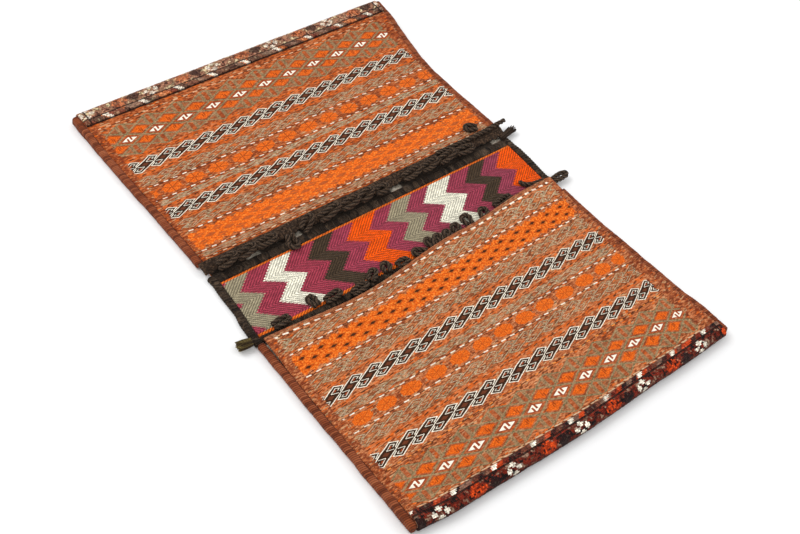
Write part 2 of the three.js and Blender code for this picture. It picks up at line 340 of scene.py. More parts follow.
class Web:
    """A material and its node tree."""

    def __init__(self, name):
        self.material = bpy.data.materials.new(name)
        self.material.use_nodes = True
        self.nodes = self.material.node_tree.nodes
        self.links = self.material.node_tree.links
        self.nodes.clear()
        self.colour = None

    def node(self, kind, **settings):
        made = self.nodes.new(kind)
        for key, value in settings.items():
            setattr(made, key, value)
        return made

    def feed(self, socket, value):
        if isinstance(value, Field):
            self.links.new(value.socket, socket)
        else:
            socket.default_value = value

    def math(self, operation, *values, clamp=False):
        made = self.node("ShaderNodeMath", operation=operation, use_clamp=clamp)
        for socket, value in zip(made.inputs, values):
            self.feed(socket, value)
        return Field(self, made.outputs[0])

    def coordinates(self, name):
        """The three parts of a mesh's own vector."""
        found = self.node("ShaderNodeAttribute", attribute_name=name)
        parts = self.node("ShaderNodeSeparateXYZ")
        self.links.new(found.outputs["Vector"], parts.inputs[0])
        return [Field(self, parts.outputs[i]) for i in range(3)]

    def vector(self, x, y, z=0.0):
        made = self.node("ShaderNodeCombineXYZ")
        for socket, value in zip(made.inputs, (x, y, z)):
            self.feed(socket, value)
        return Field(self, made.outputs[0])

    def noise(self, x, y, detail=1.0, z=0.0):
        made = self.node("ShaderNodeTexNoise", noise_dimensions="3D")
        self.feed(made.inputs["Vector"], self.vector(x, y, z))
        made.inputs["Scale"].default_value = 1
        made.inputs["Detail"].default_value = detail
        return Field(self, made.outputs["Fac"])

    def scatter(self, x, y, z=0.0):
        """A number from 0 to 1 for each whole-numbered place."""
        made = self.node("ShaderNodeTexWhiteNoise", noise_dimensions="3D")
        self.feed(made.inputs["Vector"], self.vector(x, y, z))
        return Field(self, made.outputs["Value"])

    def mix(self, low, high, share):
        made = self.node("ShaderNodeMix", data_type="RGBA")
        self.feed(made.inputs["Factor"], share)
        self.feed(made.inputs[6], low)
        self.feed(made.inputs[7], high)
        return Field(self, made.outputs[2])

    def paint(self, tone, share):
        """Puts a tone over the colour so far, where share is 1."""
        self.colour = self.mix(self.colour, tone, share)

    def shade(self, factor):
        self.colour = self.brighten(self.colour, factor)

    def eased(self, value, stations):
        """A smooth number through the listed stations (at, number)."""
        total = None
        last = stations[0][1]
        for (a0, v0), (a1, v1) in zip(stations, stations[1:]):
            made = self.node("ShaderNodeMapRange", interpolation_type="SMOOTHSTEP")
            for socket, number in zip(made.inputs, (value, a0, a1, 0.0, v1 - v0)):
                self.feed(socket, number)
            step = Field(self, made.outputs[0])
            total = step if total is None else total + step
        return total + last

    def ramp(self, value, stops, steps=False):
        """A colour for each value from 0 to 1, through the listed (place, colour) stops."""
        made = self.node("ShaderNodeValToRGB")
        made.color_ramp.interpolation = "CONSTANT" if steps else "LINEAR"
        self.feed(made.inputs[0], value)
        elements = made.color_ramp.elements
        while len(elements) < len(stops):
            elements.new(0.5)
        for element, (place, colour) in zip(elements, stops):
            element.position = place
            element.color = colour
        return Field(self, made.outputs["Color"])

    def brighten(self, colour, factor):
        """The colour times a number that varies."""
        made = self.node("ShaderNodeVectorMath", operation="SCALE")
        self.feed(made.inputs[0], colour if isinstance(colour, Field) else colour[:3])
        self.feed(made.inputs["Scale"], factor)
        return Field(self, made.outputs[0])

    def finish(self, height, depth, roughness=0.92):
        """Ends the material: matte wool in the colour so far, with relief depth millimetres deep."""
        bump = self.node("ShaderNodeBump")
        bump.inputs["Strength"].default_value = 1.0
        bump.inputs["Distance"].default_value = depth * MM
        self.feed(bump.inputs["Height"], height)
        wool = self.node("ShaderNodeBsdfPrincipled")
        self.feed(wool.inputs["Base Color"], self.colour)
        self.feed(wool.inputs["Roughness"], roughness)
        wool.inputs["Specular IOR Level"].default_value = 0.08
        wool.inputs["Sheen Weight"].default_value = 0.05
        wool.inputs["Sheen Roughness"].default_value = 0.5
        self.links.new(bump.outputs[0], wool.inputs["Normal"])
        output = self.node("ShaderNodeOutputMaterial")
        self.links.new(wool.outputs[0], output.inputs["Surface"])
        return self.material


# --- wool colours

ORANGE = rgb(230, 102, 18)
ORANGE_DEEP = rgb(186, 68, 14)
ORANGE_PALE = rgb(248, 146, 58)
RUST = rgb(138, 54, 14)
WHITE = rgb(255, 246, 226)
WHITE_DULL = rgb(226, 204, 168)
DARK = rgb(56, 32, 16)
GREY_GREEN = rgb(168, 158, 118)
GREY_GREEN_DARK = rgb(128, 112, 74)
TERRACOTTA = rgb(176, 78, 40)

FLECK_DARK = rgb(92, 46, 24)
FLECK_LIGHT = rgb(206, 176, 132)

GROUNDS = {
    "near": (rgb(116, 52, 24), rgb(180, 98, 54), rgb(218, 146, 98)),
    "far": (rgb(112, 44, 14), rgb(172, 84, 38), rgb(206, 124, 74)),
}
THREAD = 4.4  # one float of weft across, millimetres
ROW = 1.8  # one weft along


def ground_wool(web, x, s, palette):
    """The terracotta ground: long streaks of weft, thread by thread, over slow changes of dye."""
    dark, middle, light = palette
    streak = web.noise(x.scaled(0.11), s.scaled(0.55), 2.0)
    row = s.cell(ROW)
    thread = web.scatter((x.scaled(1 / THREAD) + row * 0.5).floor(), row)
    dye = web.noise(x.scaled(0.012), s.scaled(0.05), 1.0, 7.0)
    value = streak * 1.5 + thread * 0.62 + dye * 0.6
    web.colour = web.ramp(value.scaled(1.0, -0.86), [(0.08, dark), (0.5, middle), (0.95, light)])
    fleck = web.scatter((x + s * 0.7).cell(6.0), s.cell(1.9), 14.0)
    web.paint(FLECK_DARK, fleck.below(0.08, 0.01) * 0.8)
    web.paint(ORANGE, (fleck - 0.3).fold(1.0).below(0.03, 0.01) * 0.75)
    web.paint(FLECK_LIGHT, fleck.above(0.94, 0.01) * 0.6)
    web.ground = web.colour


def weave_height(web, x, s):
    """Relief of the flat weave: rows of weft that bulge over each warp."""
    row = s.scaled(1 / ROW)
    bulge = (x.scaled(1 / THREAD) + row.floor() * 0.5).fold(1.0)
    ridge = row.fold(1.0)
    return ridge * 1.2 + bulge * 0.9


def segment(web, x, y, start, end):
    """Distance from a segment of an outline."""
    (ax, ay), (bx, by) = start, end
    dx, dy = bx - ax, by - ay
    size = dx * dx + dy * dy
    share = web.math("MULTIPLY_ADD", x, dx / size, -(ax * dx + ay * dy) / size)
    share = web.math("MULTIPLY_ADD", y, dy / size, share, clamp=True)
    off_x = share.scaled(-dx, -ax) + x
    off_y = share.scaled(-dy, -ay) + y
    return web.math("SQRT", web.math("MULTIPLY_ADD", off_x, off_x, off_y * off_y))


def outline(web, x, y, points):
    """Distance from a run of straight segments through points."""
    nearest = None
    for start, end in zip(points, points[1:]):
        found = segment(web, x, y, start, end)
        nearest = found if nearest is None else nearest.least(found)
    return nearest


def slanted_dashes(web, x, y, pitch, length, thick):
    """A row of short two-lobed stitches, and the thin dark ones between them."""
    along = x.centred(pitch)
    lobe = abs(abs(along) - length * 0.25).scaled(-0.12, 0.35)
    white = abs(along).below(length / 2, 0.8) * abs(y + along * 0.07).below(lobe + thick / 2, 0.8)
    gap = (x + pitch / 2).centred(pitch)
    dark = abs(gap).below(pitch / 2 - length / 2 + 0.8, 0.8) * abs(y + 0.3).below(0.7, 0.6)
    return white, dark


STRETCH = {
    "near": [(-230, 10.5), (-60, 0), (215, 0), (315, 11)],
    "far": [(-300, 1), (-210, 5), (-90, 0), (-30, 0), (150, 3.5), (300, 7)],
}


def cloth_parts(web, pocket_name="near"):
    """Across, from the band's middle, and along; the motifs are spaced unevenly, as woven by hand."""
    x, y, s = web.coordinates("motif")
    return x, x + web.eased(x, STRETCH[pocket_name]), y, s


def start_band(name, pocket):
    web = Web(f"{pocket.name}_{name}")
    x, pattern_x, y, s = cloth_parts(web, pocket.name)
    waver = web.noise(x.scaled(0.05), s.scaled(0.02), 1.0, 3.0).scaled(2.4, -1.2)
    ground_wool(web, x, s, GROUNDS[pocket.name])
    return web, x, pattern_x, y + waver, s


def side_margin(web, x, s):
    """The last motifs stop short of both seams, where the wool is plain and patchy."""
    ragged = web.noise(x.scaled(0.02), s.scaled(0.35), 1.0, 31.0).scaled(14.0, -7.0)
    margin = (x + ragged).above(288.0, 1.5).most((x + ragged).below(-304.0, 1.5))
    patch = web.noise(x.scaled(0.12), s.scaled(0.22), 2.0, 17.0).above(0.53, 0.12)
    web.paint(web.mix(web.ground, rgb(120, 44, 18), patch * 0.75), margin)


def lit(web, x, s, colour, spread=0.5):
    """A motif's colour, a little lighter or darker thread by thread."""
    thread = web.scatter(x.cell(3.2), s.cell(1.7), 5.0)
    return web.brighten(colour, thread.scaled(spread, 1.02 - spread / 2))


def end_band(web, x, s, spread=0.0, raised=None):
    if spread:
        web.colour = lit(web, x, s, web.colour, spread)
    side_margin(web, x, s)
    height = weave_height(web, x, s)
    if raised is not None:
        height = height + raised * 0.9
    return web.finish(height, 0.7)


# --- the bands of the weave


def plain_band(pocket, name="plain"):
    web, x, _, _, s = start_band(name, pocket)
    return end_band(web, x, s)


def twill_edge(pocket):
    """The mouth's edge: a narrow band of twill in darker wool."""
    web, x, _, y, s = start_band("twill_edge", pocket)
    rib = (x * 0.9 + s * 1.4).fold(3.2).scaled(1 / 1.6)
    web.paint(rgb(140, 92, 64), rib.scaled(0.75))
    height = weave_height(web, x, s) + rib * 1.4
    web.colour = lit(web, x, s, web.colour, 0.3)
    return web.finish(height, 0.6)


def dash_row(pocket, name, length, thick, shift=0.0, white=WHITE):
    web, x, px, y, s = start_band(name, pocket)
    stitches, between = slanted_dashes(web, px - shift, y, 19.0, length, thick)
    worn = web.scatter(px.scaled(1 / 19.0, 0.5).floor(), s.cell(40.0), 8.0).scaled(0.45, 0.62)
    web.paint(DARK, between * 0.9)
    web.paint(white, stitches * worn.least(1.0))
    return end_band(web, x, s, 0.24, stitches)


def small_stitch_row(pocket):
    """Dark and orange stitches that frame a hooked band."""
    web, x, px, y, s = start_band("small_stitch_row", pocket)
    along = px.centred(18.2)
    glow = web.noise(x.scaled(0.06), y.scaled(0.3), 1.0, 11.0).above(0.46, 0.16)
    web.paint(ORANGE, glow * 0.5)
    dark = abs(along).below(4.2, 1.2) * abs(y - along * 0.12).below(0.85, 0.6)
    web.paint(DARK, dark * 0.85)
    return end_band(web, x, s, 0.3, dark)


HOOK_PITCH = 36.6
HOOK_PEAK = (-2.8, 14.2)
HOOK_TIP = (11.0, 8.0)
HOOK_SLOPE = HOOK_PEAK[1] / (HOOK_PITCH + HOOK_PEAK[0])


def hook_parts(web, px, y, shift):
    """The hooked motif turns half round about each crossing, so one half of it draws both."""
    along = (px - shift).centred(HOOK_PITCH)
    side = web.math("SIGN", y)
    return along * side, abs(y)


def hook_lines(web, x, y):
    """Distance from the double hook's outline: two long diagonals, and the hook between them."""
    half = HOOK_PITCH / 2
    outer = outline(web, x, y, [(-half - 6, (half - 6) * HOOK_SLOPE), HOOK_PEAK, HOOK_TIP, (1.6, 3.0)])
    next_diagonal = segment(web, x, y, (0, 0), (half + 6, (half + 6) * HOOK_SLOPE))
    inner = outline(web, x, y, [(-2.6, 1.4), (-14.2, 4.5), (-2.6, 10.2), (3.0, 7.4), (-1.4, 5.4)])
    return outer, next_diagonal, inner + 0.2


def hook_band(pocket, name, shift):
    """White double hooks round dark lozenges."""
    web, x, px, y, s = start_band(name, pocket)
    hx, hy = hook_parts(web, px, y, shift)
    outer, next_diagonal, inner = hook_lines(web, hx.stepped(1.2), hy)
    # dark wool fills what the outline holds: under both diagonals and above the hook's far side
    under_left = hy.below((hx + HOOK_PITCH) * HOOK_SLOPE, 0.6)
    under_peak = hy.below(hx * -0.45 + 13.2, 0.6)
    before_tip = hx.below(10.5, 0.6)
    inside_left = under_left * under_peak * before_tip * (hy - hx * HOOK_SLOPE).above(0.0, 0.6)
    right_gap = hy.below(hx * HOOK_SLOPE, 0.6) * hx.above(3.0, 0.6)
    dark = inside_left.most(right_gap)
    web.paint(DARK, dark)
    lozenge = abs(abs(hx) - HOOK_PITCH / 2) * 0.2 + hy * 0.42
    heart = lozenge.below(1.35, 0.3)
    web.paint(rgb(112, 58, 34), heart * dark * 0.85)
    eye = (abs(hx + 6.6) / 4.4 + abs(hy - 6.9) / 2.2).below(1.0, 0.2)
    web.paint(TERRACOTTA, eye * dark * 0.7)
    white = outer.least(next_diagonal).least(inner).below(0.68, 0.5)
    web.paint(lit(web, x, s, WHITE, 0.3), white)
    return end_band(web, x, s, 0.2, white)


def squiggle_band(pocket, name, height, shift, strength=0.85):
    """Faded grey-green hooks, drawn thin, as high as the band."""
    web, x, px, y, s = start_band(name, pocket)
    scale = 30.0 / height
    hx, hy = hook_parts(web, px, y * scale, shift)
    outer, next_diagonal, inner = hook_lines(web, hx.stepped(1.8), hy)
    worn = web.noise(x.scaled(0.22), s.scaled(0.5), 2.0, 4.0).above(0.46, 0.2)
    line = outer.least(next_diagonal).least(inner).below(0.72 * scale, 0.7)
    wash = web.noise(x.scaled(0.09), s.scaled(0.4), 2.0, 9.0).above(0.55, 0.14)
    web.paint(GREY_GREEN_DARK, wash * 0.35)
    speck = web.scatter(x.scaled(0.34).floor(), s.scaled(0.6).floor())
    tone = web.mix(rgb(142, 126, 88), rgb(216, 204, 172), speck)
    shadow = (outer.least(next_diagonal).least(inner) - 1.7 * scale).fold(40.0).below(0.5 * scale, 0.5)
    web.paint(rgb(128, 62, 34), shadow * 0.45)
    web.paint(tone, line * worn.scaled(0.4, 0.6) * strength)
    return end_band(web, x, s, 0.3, line)


def orange_wool(web, value, deep, middle, pale):
    return web.ramp(value, [(deep, ORANGE_DEEP), (middle, ORANGE), (pale, ORANGE_PALE)])


def octagon_band(pocket, shift):
    """Orange octagons with dark spokes."""
    web, x, px, y, s = start_band("octagon_band", pocket)
    ox = (px - shift).centred(46.0)
    ax, ay = abs(ox), abs(y)
    reach = (ax / 17.8).most(ay / 10.2).most((ax / 17.8 + ay / 10.2) / 1.42)
    body = reach.below(1.0, 0.06)
    spoke = ax.below(0.75, 0.5).most((ay - ax * 0.42).below(0.0, 0.6) * (ay - ax * 0.42).above(-1.4, 0.6))
    glow = web.noise(x.scaled(0.35), s.scaled(0.9), 1.5, 6.0)
    web.paint(orange_wool(web, glow, 0.32, 0.52, 0.72), body)
    web.paint(RUST, spoke * body * (0.85 if pocket is FAR else 0.45))
    bars = abs(abs((ox + 23.0).centred(46.0)) - 1.9).below(0.6, 0.5) * ay.below(9.0, 1.0)
    web.paint(RUST, bars * 0.55)
    return end_band(web, x, s, 0.16, body)


def flame_band(pocket, shift):
    """Three staggered rows of lozenges on orange, with a flame-like outer edge."""
    web, x, px, y, s = start_band("flame_band", pocket)
    pitch = 37.0
    gap = 8.8 if pocket is NEAR else 8.2
    ay = abs(y)
    lx = px - shift
    outer_row = abs(lx.centred(pitch)) / 6.2 + abs(ay - gap) / 2.5
    middle_row = abs((lx + pitch / 2).centred(pitch)) / 6.2 + ay / 2.5
    spots = outer_row.least(middle_row)
    petals = lx.fold(pitch / 2).scaled(0.62, 13.6).most((lx + 1.0).fold(pitch / 4).scaled(0.9, 13.2))
    body = ay.below(petals, 1.4)
    flames = web.noise(x.scaled(0.30), y.scaled(0.34), 1.5, 21.0)
    web.paint(orange_wool(web, flames, 0.3, 0.5, 0.68), body)
    if pocket is NEAR:
        halo = spots.below(1.9, 0.5) * 0.45
        web.paint(RUST, halo * body)
        web.paint(DARK, spots.below(1.0, 0.3) * 0.95)
    else:
        cells = spots.below(1.9, 0.35)
        web.paint(rgb(172, 82, 38), cells * 0.85)
        cross = abs((ay / (gap * 0.5)).fold(2.0) - (lx.fold(pitch) / (pitch / 2))).below(0.12, 0.1)
        web.paint(ORANGE, cross * body * 0.9)
    return end_band(web, x, s, 0.3, body)


LATTICE_PITCH = 55.2
LATTICE_RISE = 12.2


def lattice_band(pocket, shift):
    """A grey-green lattice over white and orange diamonds, with barred triangles outside them."""
    web, x, px, y, s = start_band("lattice_band", pocket)
    along = (px - shift).centred(LATTICE_PITCH)
    half = LATTICE_PITCH / 2
    ax, ay = abs(along), abs(y)
    a, b = ax / half, ay / LATTICE_RISE
    lines = abs(a + b - 1).least(abs(b - a - 1)).least(abs(a + b - 3))
    inside = (a + b).below(3.15, 0.1)
    web.paint(rgb(158, 70, 32), inside * 0.45)
    grey = lines.below(0.135, 0.08) * inside
    bars = abs(ax - 7.2).below(3.4, 0.8) * ay.above(13.0, 0.8) * (a + b).below(3.1, 0.1)
    flank = (b - a - 1).above(0.0, 0.1) * ax.above(10.0, 1.0) * (a + b).below(3.0, 0.1)
    hatch = (y + x * 0.6).fold(2.6).above(0.62, 0.4)
    grey = grey.most(bars * 0.85).most(flank * hatch * 0.5)
    specks = web.scatter(x.scaled(0.5).floor(), s.scaled(0.62).floor(), 3.0)
    tone = web.mix(rgb(98, 90, 56), rgb(170, 162, 124), specks)
    web.paint(tone, grey * specks.scaled(-0.45, 0.98))
    orange = ((half - ax) / 17.4 + abs(ay - LATTICE_RISE) / 7.8).below(1.0, 0.12)
    glow = web.noise(x.scaled(0.35), s.scaled(0.9), 1.5, 6.0)
    web.paint(orange_wool(web, glow, 0.34, 0.56, 0.78), orange)
    notch = (half - ax).below(0.8, 0.5) * abs(ay - LATTICE_RISE + 1.0).below(3.6, 0.6)
    hook = abs(along - 3.4 - web.math("SIGN", along) * half).below(1.2, 0.6)
    hook = hook * ay.below(LATTICE_RISE, 1.0)
    web.paint(RUST, notch.most(hook * orange) * 0.8)
    white = (ax / 15.0 + ay / 5.6).below(1.0, 0.10)
    slot_low = abs(along + 3.4).below(1.9, 0.5) * y.below(2.2, 0.5)
    slot_high = abs(along - 3.4).below(1.9, 0.5) * y.above(-2.2, 0.5)
    around = (ax / 18.5 + ay / 7.4).below(1.0, 0.12)
    web.paint(rgb(150, 62, 30), around * 0.8)
    web.paint(WHITE, white * (1 - slot_low.most(slot_high)))
    return end_band(web, x, s, 0.3, grey.most(orange).most(white))


def mouth_gap_shade(web, x, s):
    """Painted shade: the last of the back cloth, seen in the gap under the far loops between the mouth edge
    and the bridge binding, painted near black and left pale here and there.
    """
    last = 2 * FOLD_AT + math.pi * FOLD_R - FAR_BACK_END
    # the places where the painted shade stops and the pale cloth shows
    worn = abs(x + 232).below(13.0, 4.0)
    for place, half_width in ((59, 11.0), (289, 12.0), (-148, 9.0)):
        worn = worn.most(abs(x - place).below(half_width, 4.0))
    return s.above(last - 24.0, 2.0) * (1 - worn)


def inner_weave():
    """The pockets' backs and insides: plain undyed wool."""
    web = Web("undyed_plain_weave")
    x, _, _, s = cloth_parts(web)
    streak = web.noise(x.scaled(0.08), s.scaled(0.6), 2.0)
    row = s.cell(2.4)
    thread = web.scatter((x.scaled(1 / 3.0) + row * 0.5).floor(), row)
    value = streak * 0.9 + thread * 0.45
    stripe = s.fold(74.0).below(6.0, 1.0)
    web.colour = web.ramp(
        value.scaled(1.0, -0.18),
        [(0.15, rgb(112, 100, 86)), (0.5, rgb(176, 166, 150)), (0.9, rgb(214, 206, 192))],
    )
    web.paint(web.ramp(value, [(0.2, rgb(70, 46, 34)), (0.9, rgb(128, 88, 62))]), stripe)
    # painted shade in the gap under the far mouth's loops, near black but for a few pale places
    web.paint(rgb(40, 28, 20), mouth_gap_shade(web, x, s) * 0.96)
    bulge = (x.scaled(1 / 3.0) + row * 0.5).fold(1.0)
    return web.finish(s.scaled(1 / 2.4).fold(1.0) * 1.2 + bulge, 0.7)


def dash_rows(pocket, length, thick, shifts):
    return [dash_row(pocket, f"dash_row_{i}", length, thick, shift) for i, shift in enumerate(shifts, 1)]


# Each face from its mouth to its closed end: (the band's end, its motif's middle, its material).


def near_bands():
    dashes = dash_rows(NEAR, 9.2, 1.6, (-5.5, -3, -8, -2))
    mouth_dashes = dash_row(NEAR, "mouth_dash_row", 10.2, 2.2, -9)
    stitches = small_stitch_row(NEAR)
    thin = dash_row(NEAR, "thin_dash_row", 7.0, 1.3, 0, ORANGE_PALE)
    plain = plain_band(NEAR)
    return [
        (86, 83, twill_edge(NEAR)),
        (91.5, 88.3, mouth_dashes),
        (115, 103, squiggle_band(NEAR, "squiggle_1", 21, 6)),
        (121.5, 118.4, dashes[0]),
        (160.5, 141, flame_band(NEAR, 17.0)),
        (166.5, 163.4, dashes[1]),
        (193, 179, squiggle_band(NEAR, "squiggle_2", 23, -9)),
        (198.5, 196, stitches),
        (230.5, 214.5, hook_band(NEAR, "hooks_1", -9.2)),
        (236, 233, stitches),
        (252, 244, squiggle_band(NEAR, "squiggle_3", 15, 12, 0.7)),
        (258, 255.3, dashes[2]),
        (282, 270.2, octagon_band(NEAR, 11)),
        (288, 285, dashes[3]),
        (315, 301.5, squiggle_band(NEAR, "squiggle_4", 24, 2)),
        (325, 320, stitches),
        (357, 341, hook_band(NEAR, "hooks_2", 0.2)),
        (359, 358, plain),
        (365, 362, thin),
        (440.5, 405, lattice_band(NEAR, 7.3)),
        (446.5, 443, dash_row(NEAR, "pale_dash_row", 15.0, 1.1, 0, WHITE_DULL)),
        (FOLD_AT, 450, plain),
    ]


def far_bands():
    dashes = dash_rows(FAR, 8.8, 1.5, (8, -6, -4, -1))
    stitches = small_stitch_row(FAR)
    plain = plain_band(FAR)
    return [
        (89.5, 88, plain),
        (94, 91.8, dash_row(FAR, "worn_dash_row", 8.0, 1.3, 0, WHITE_DULL)),
        (106, 100, squiggle_band(FAR, "squiggle_1", 11, 0, 0.5)),
        (111.5, 109, dashes[0]),
        (152.5, 132, flame_band(FAR, 9.2)),
        (159, 156, dashes[1]),
        (183, 171.5, squiggle_band(FAR, "squiggle_2", 22, 8)),
        (188.5, 186, stitches),
        (220, 204.4, hook_band(FAR, "hooks_1", -2)),
        (226, 223, stitches),
        (237.5, 231, squiggle_band(FAR, "squiggle_3", 13, -4, 0.8)),
        (243.2, 240.6, dashes[2]),
        (269.5, 256, octagon_band(FAR, 10.9)),
        (275.5, 272.6, dashes[3]),
        (297.5, 286, squiggle_band(FAR, "squiggle_4", 22, 5)),
        (306, 302, stitches),
        (338, 322, hook_band(FAR, "hooks_2", -2)),
        (346, 341, stitches),
        (421, 383.5, lattice_band(FAR, 7)),
        (428, 424.5, dash_row(FAR, "thin_dash_row", 9.0, 1.3, 0, rgb(232, 190, 150))),
        (FOLD_AT, 440, plain),
    ]


# --- the pockets

ROW_STEP = 4.0
COLUMN_STEP = 5.0
FOLD_ROWS = 8
INSET = SEAM + 2 * GAP - 1.4


def face_ripple(pocket, x, at):
    """Soft waves of slack cloth, none at the fold."""
    slow = smooth_noise(x / 120 + 3 * pocket.end, at / 90 + 9)
    quick = smooth_noise(x / 46 + 17, at / 60 + 5 * pocket.end)
    return (1.1 * slow + 0.35 * quick) * (1 - smoothstep(at, 400, 440))


def end_bow(pocket, distance, x):
    """The near pocket's closed end bows out a little between its seams."""
    return near_bow(x) * smoothstep(distance, 380, FOLD_AT - 6) if pocket is NEAR else 0.0


def path_point(pocket, part, at, x, offset, ripple=True):
    """A point of the pocket's cloth, offset outwards from its middle."""
    if part == "fold":
        centre = float(back_height(FOLD_AT)) + FOLD_R
        out_y, out_z = math.sin(at), math.cos(at)
        distance = FOLD_AT + FOLD_R * out_y + np.zeros_like(x)
        height = centre + FOLD_R * out_z
    elif part == "back":
        out_y, out_z = 0.0, -1.0
        distance = at + np.zeros_like(x)
        height = back_height(at)
    else:
        out_y, out_z = 0.0, 1.0
        distance = at + pocket.wander(x, at)
        height = face_height(at, pocket.mouth, pocket.lift)
        if ripple:
            height = height + face_ripple(pocket, x, at)
    bow = end_bow(pocket, FOLD_AT if part == "fold" else at, x)
    y = pocket.end * (distance + bow + offset * out_y)
    return np.stack([x, y, height + offset * out_z + np.zeros_like(x)], -1)


def across(pocket, part, at, columns, inset):
    """Evenly spaced points across the bag at a station."""
    distance = FOLD_AT + FOLD_R * math.sin(at) if part == "fold" else at
    left = float(left_side(pocket.end * distance)) + inset
    right = float(right_side(pocket.end * distance)) - inset
    return np.linspace(left, right, columns)


def make_pocket(pocket, bands, inner):
    """One cloth, folded at the closed end: its banded face, the fold and its plain back."""
    stations = [("face", pocket.mouth)]
    bands_of_rows, centres = [], []
    start = pocket.mouth
    for index, (end, centre, _) in enumerate(bands):
        steps = max(1, round((end - start) / ROW_STEP))
        for i in range(steps):
            stations.append(("face", start + (end - start) * (i + 1) / steps))
            bands_of_rows.append(index)
            centres.append(centre)
        start = end
    face_rows = len(bands_of_rows)
    stations += [("fold", math.pi * (i + 1) / FOLD_ROWS) for i in range(FOLD_ROWS - 1)]
    back_length = FOLD_AT - pocket.back_end
    back_rows = round(back_length / (2 * ROW_STEP))
    stations += [("back", FOLD_AT - back_length * i / back_rows) for i in range(back_rows + 1)]
    columns = round(2 * HALF_W / COLUMN_STEP)
    top, bottom, flat = [], [], []
    run = 0.0
    for part, at in stations:
        x = across(pocket, part, at, columns, INSET)
        outer = path_point(pocket, part, at, x, CLOTH / 2)
        top.append(outer)
        bottom.append(path_point(pocket, part, at, x, -CLOTH / 2))
        if part == "face":
            run = at
        else:
            run = run + float(np.linalg.norm(top[-1][columns // 2] - top[-2][columns // 2]))
        flat.append(run)
    top, bottom = np.array(top), np.array(bottom)
    points, faces, uppers, lowers = shell(top, bottom, flip=pocket.end > 0)
    materials = [band[2] for band in bands] + [inner]
    slots = np.full(len(faces), len(bands))
    row_of_face = np.arange(uppers) // (columns - 1)
    painted = row_of_face < face_rows
    slots[:uppers][painted] = np.array(bands_of_rows)[row_of_face[painted]]
    slots[uppers + lowers:] = len(bands) - 1
    count = top.shape[0] * columns
    corner_points = faces.ravel() % count
    s = np.array(flat)[corner_points // columns]
    x = top.reshape(-1, 3)[corner_points, 0]
    centre = np.zeros(len(faces))
    centre[:uppers][painted] = np.array(centres)[row_of_face[painted]]
    centre = np.repeat(centre, 4)
    y = pocket.end * (s - centre)
    made = make_mesh(
        f"{pocket.name}_pocket", points, faces, materials, f"{pocket.name}_pocket_cloth",
        "motif", np.stack([x, y, s], -1), "CORNER", slots,
    )
    length = FOLD_AT - pocket.mouth + math.pi * FOLD_R + FOLD_AT - pocket.back_end
    round(length * MM, 3)


# --- knotted pile

KNOT = 2.9


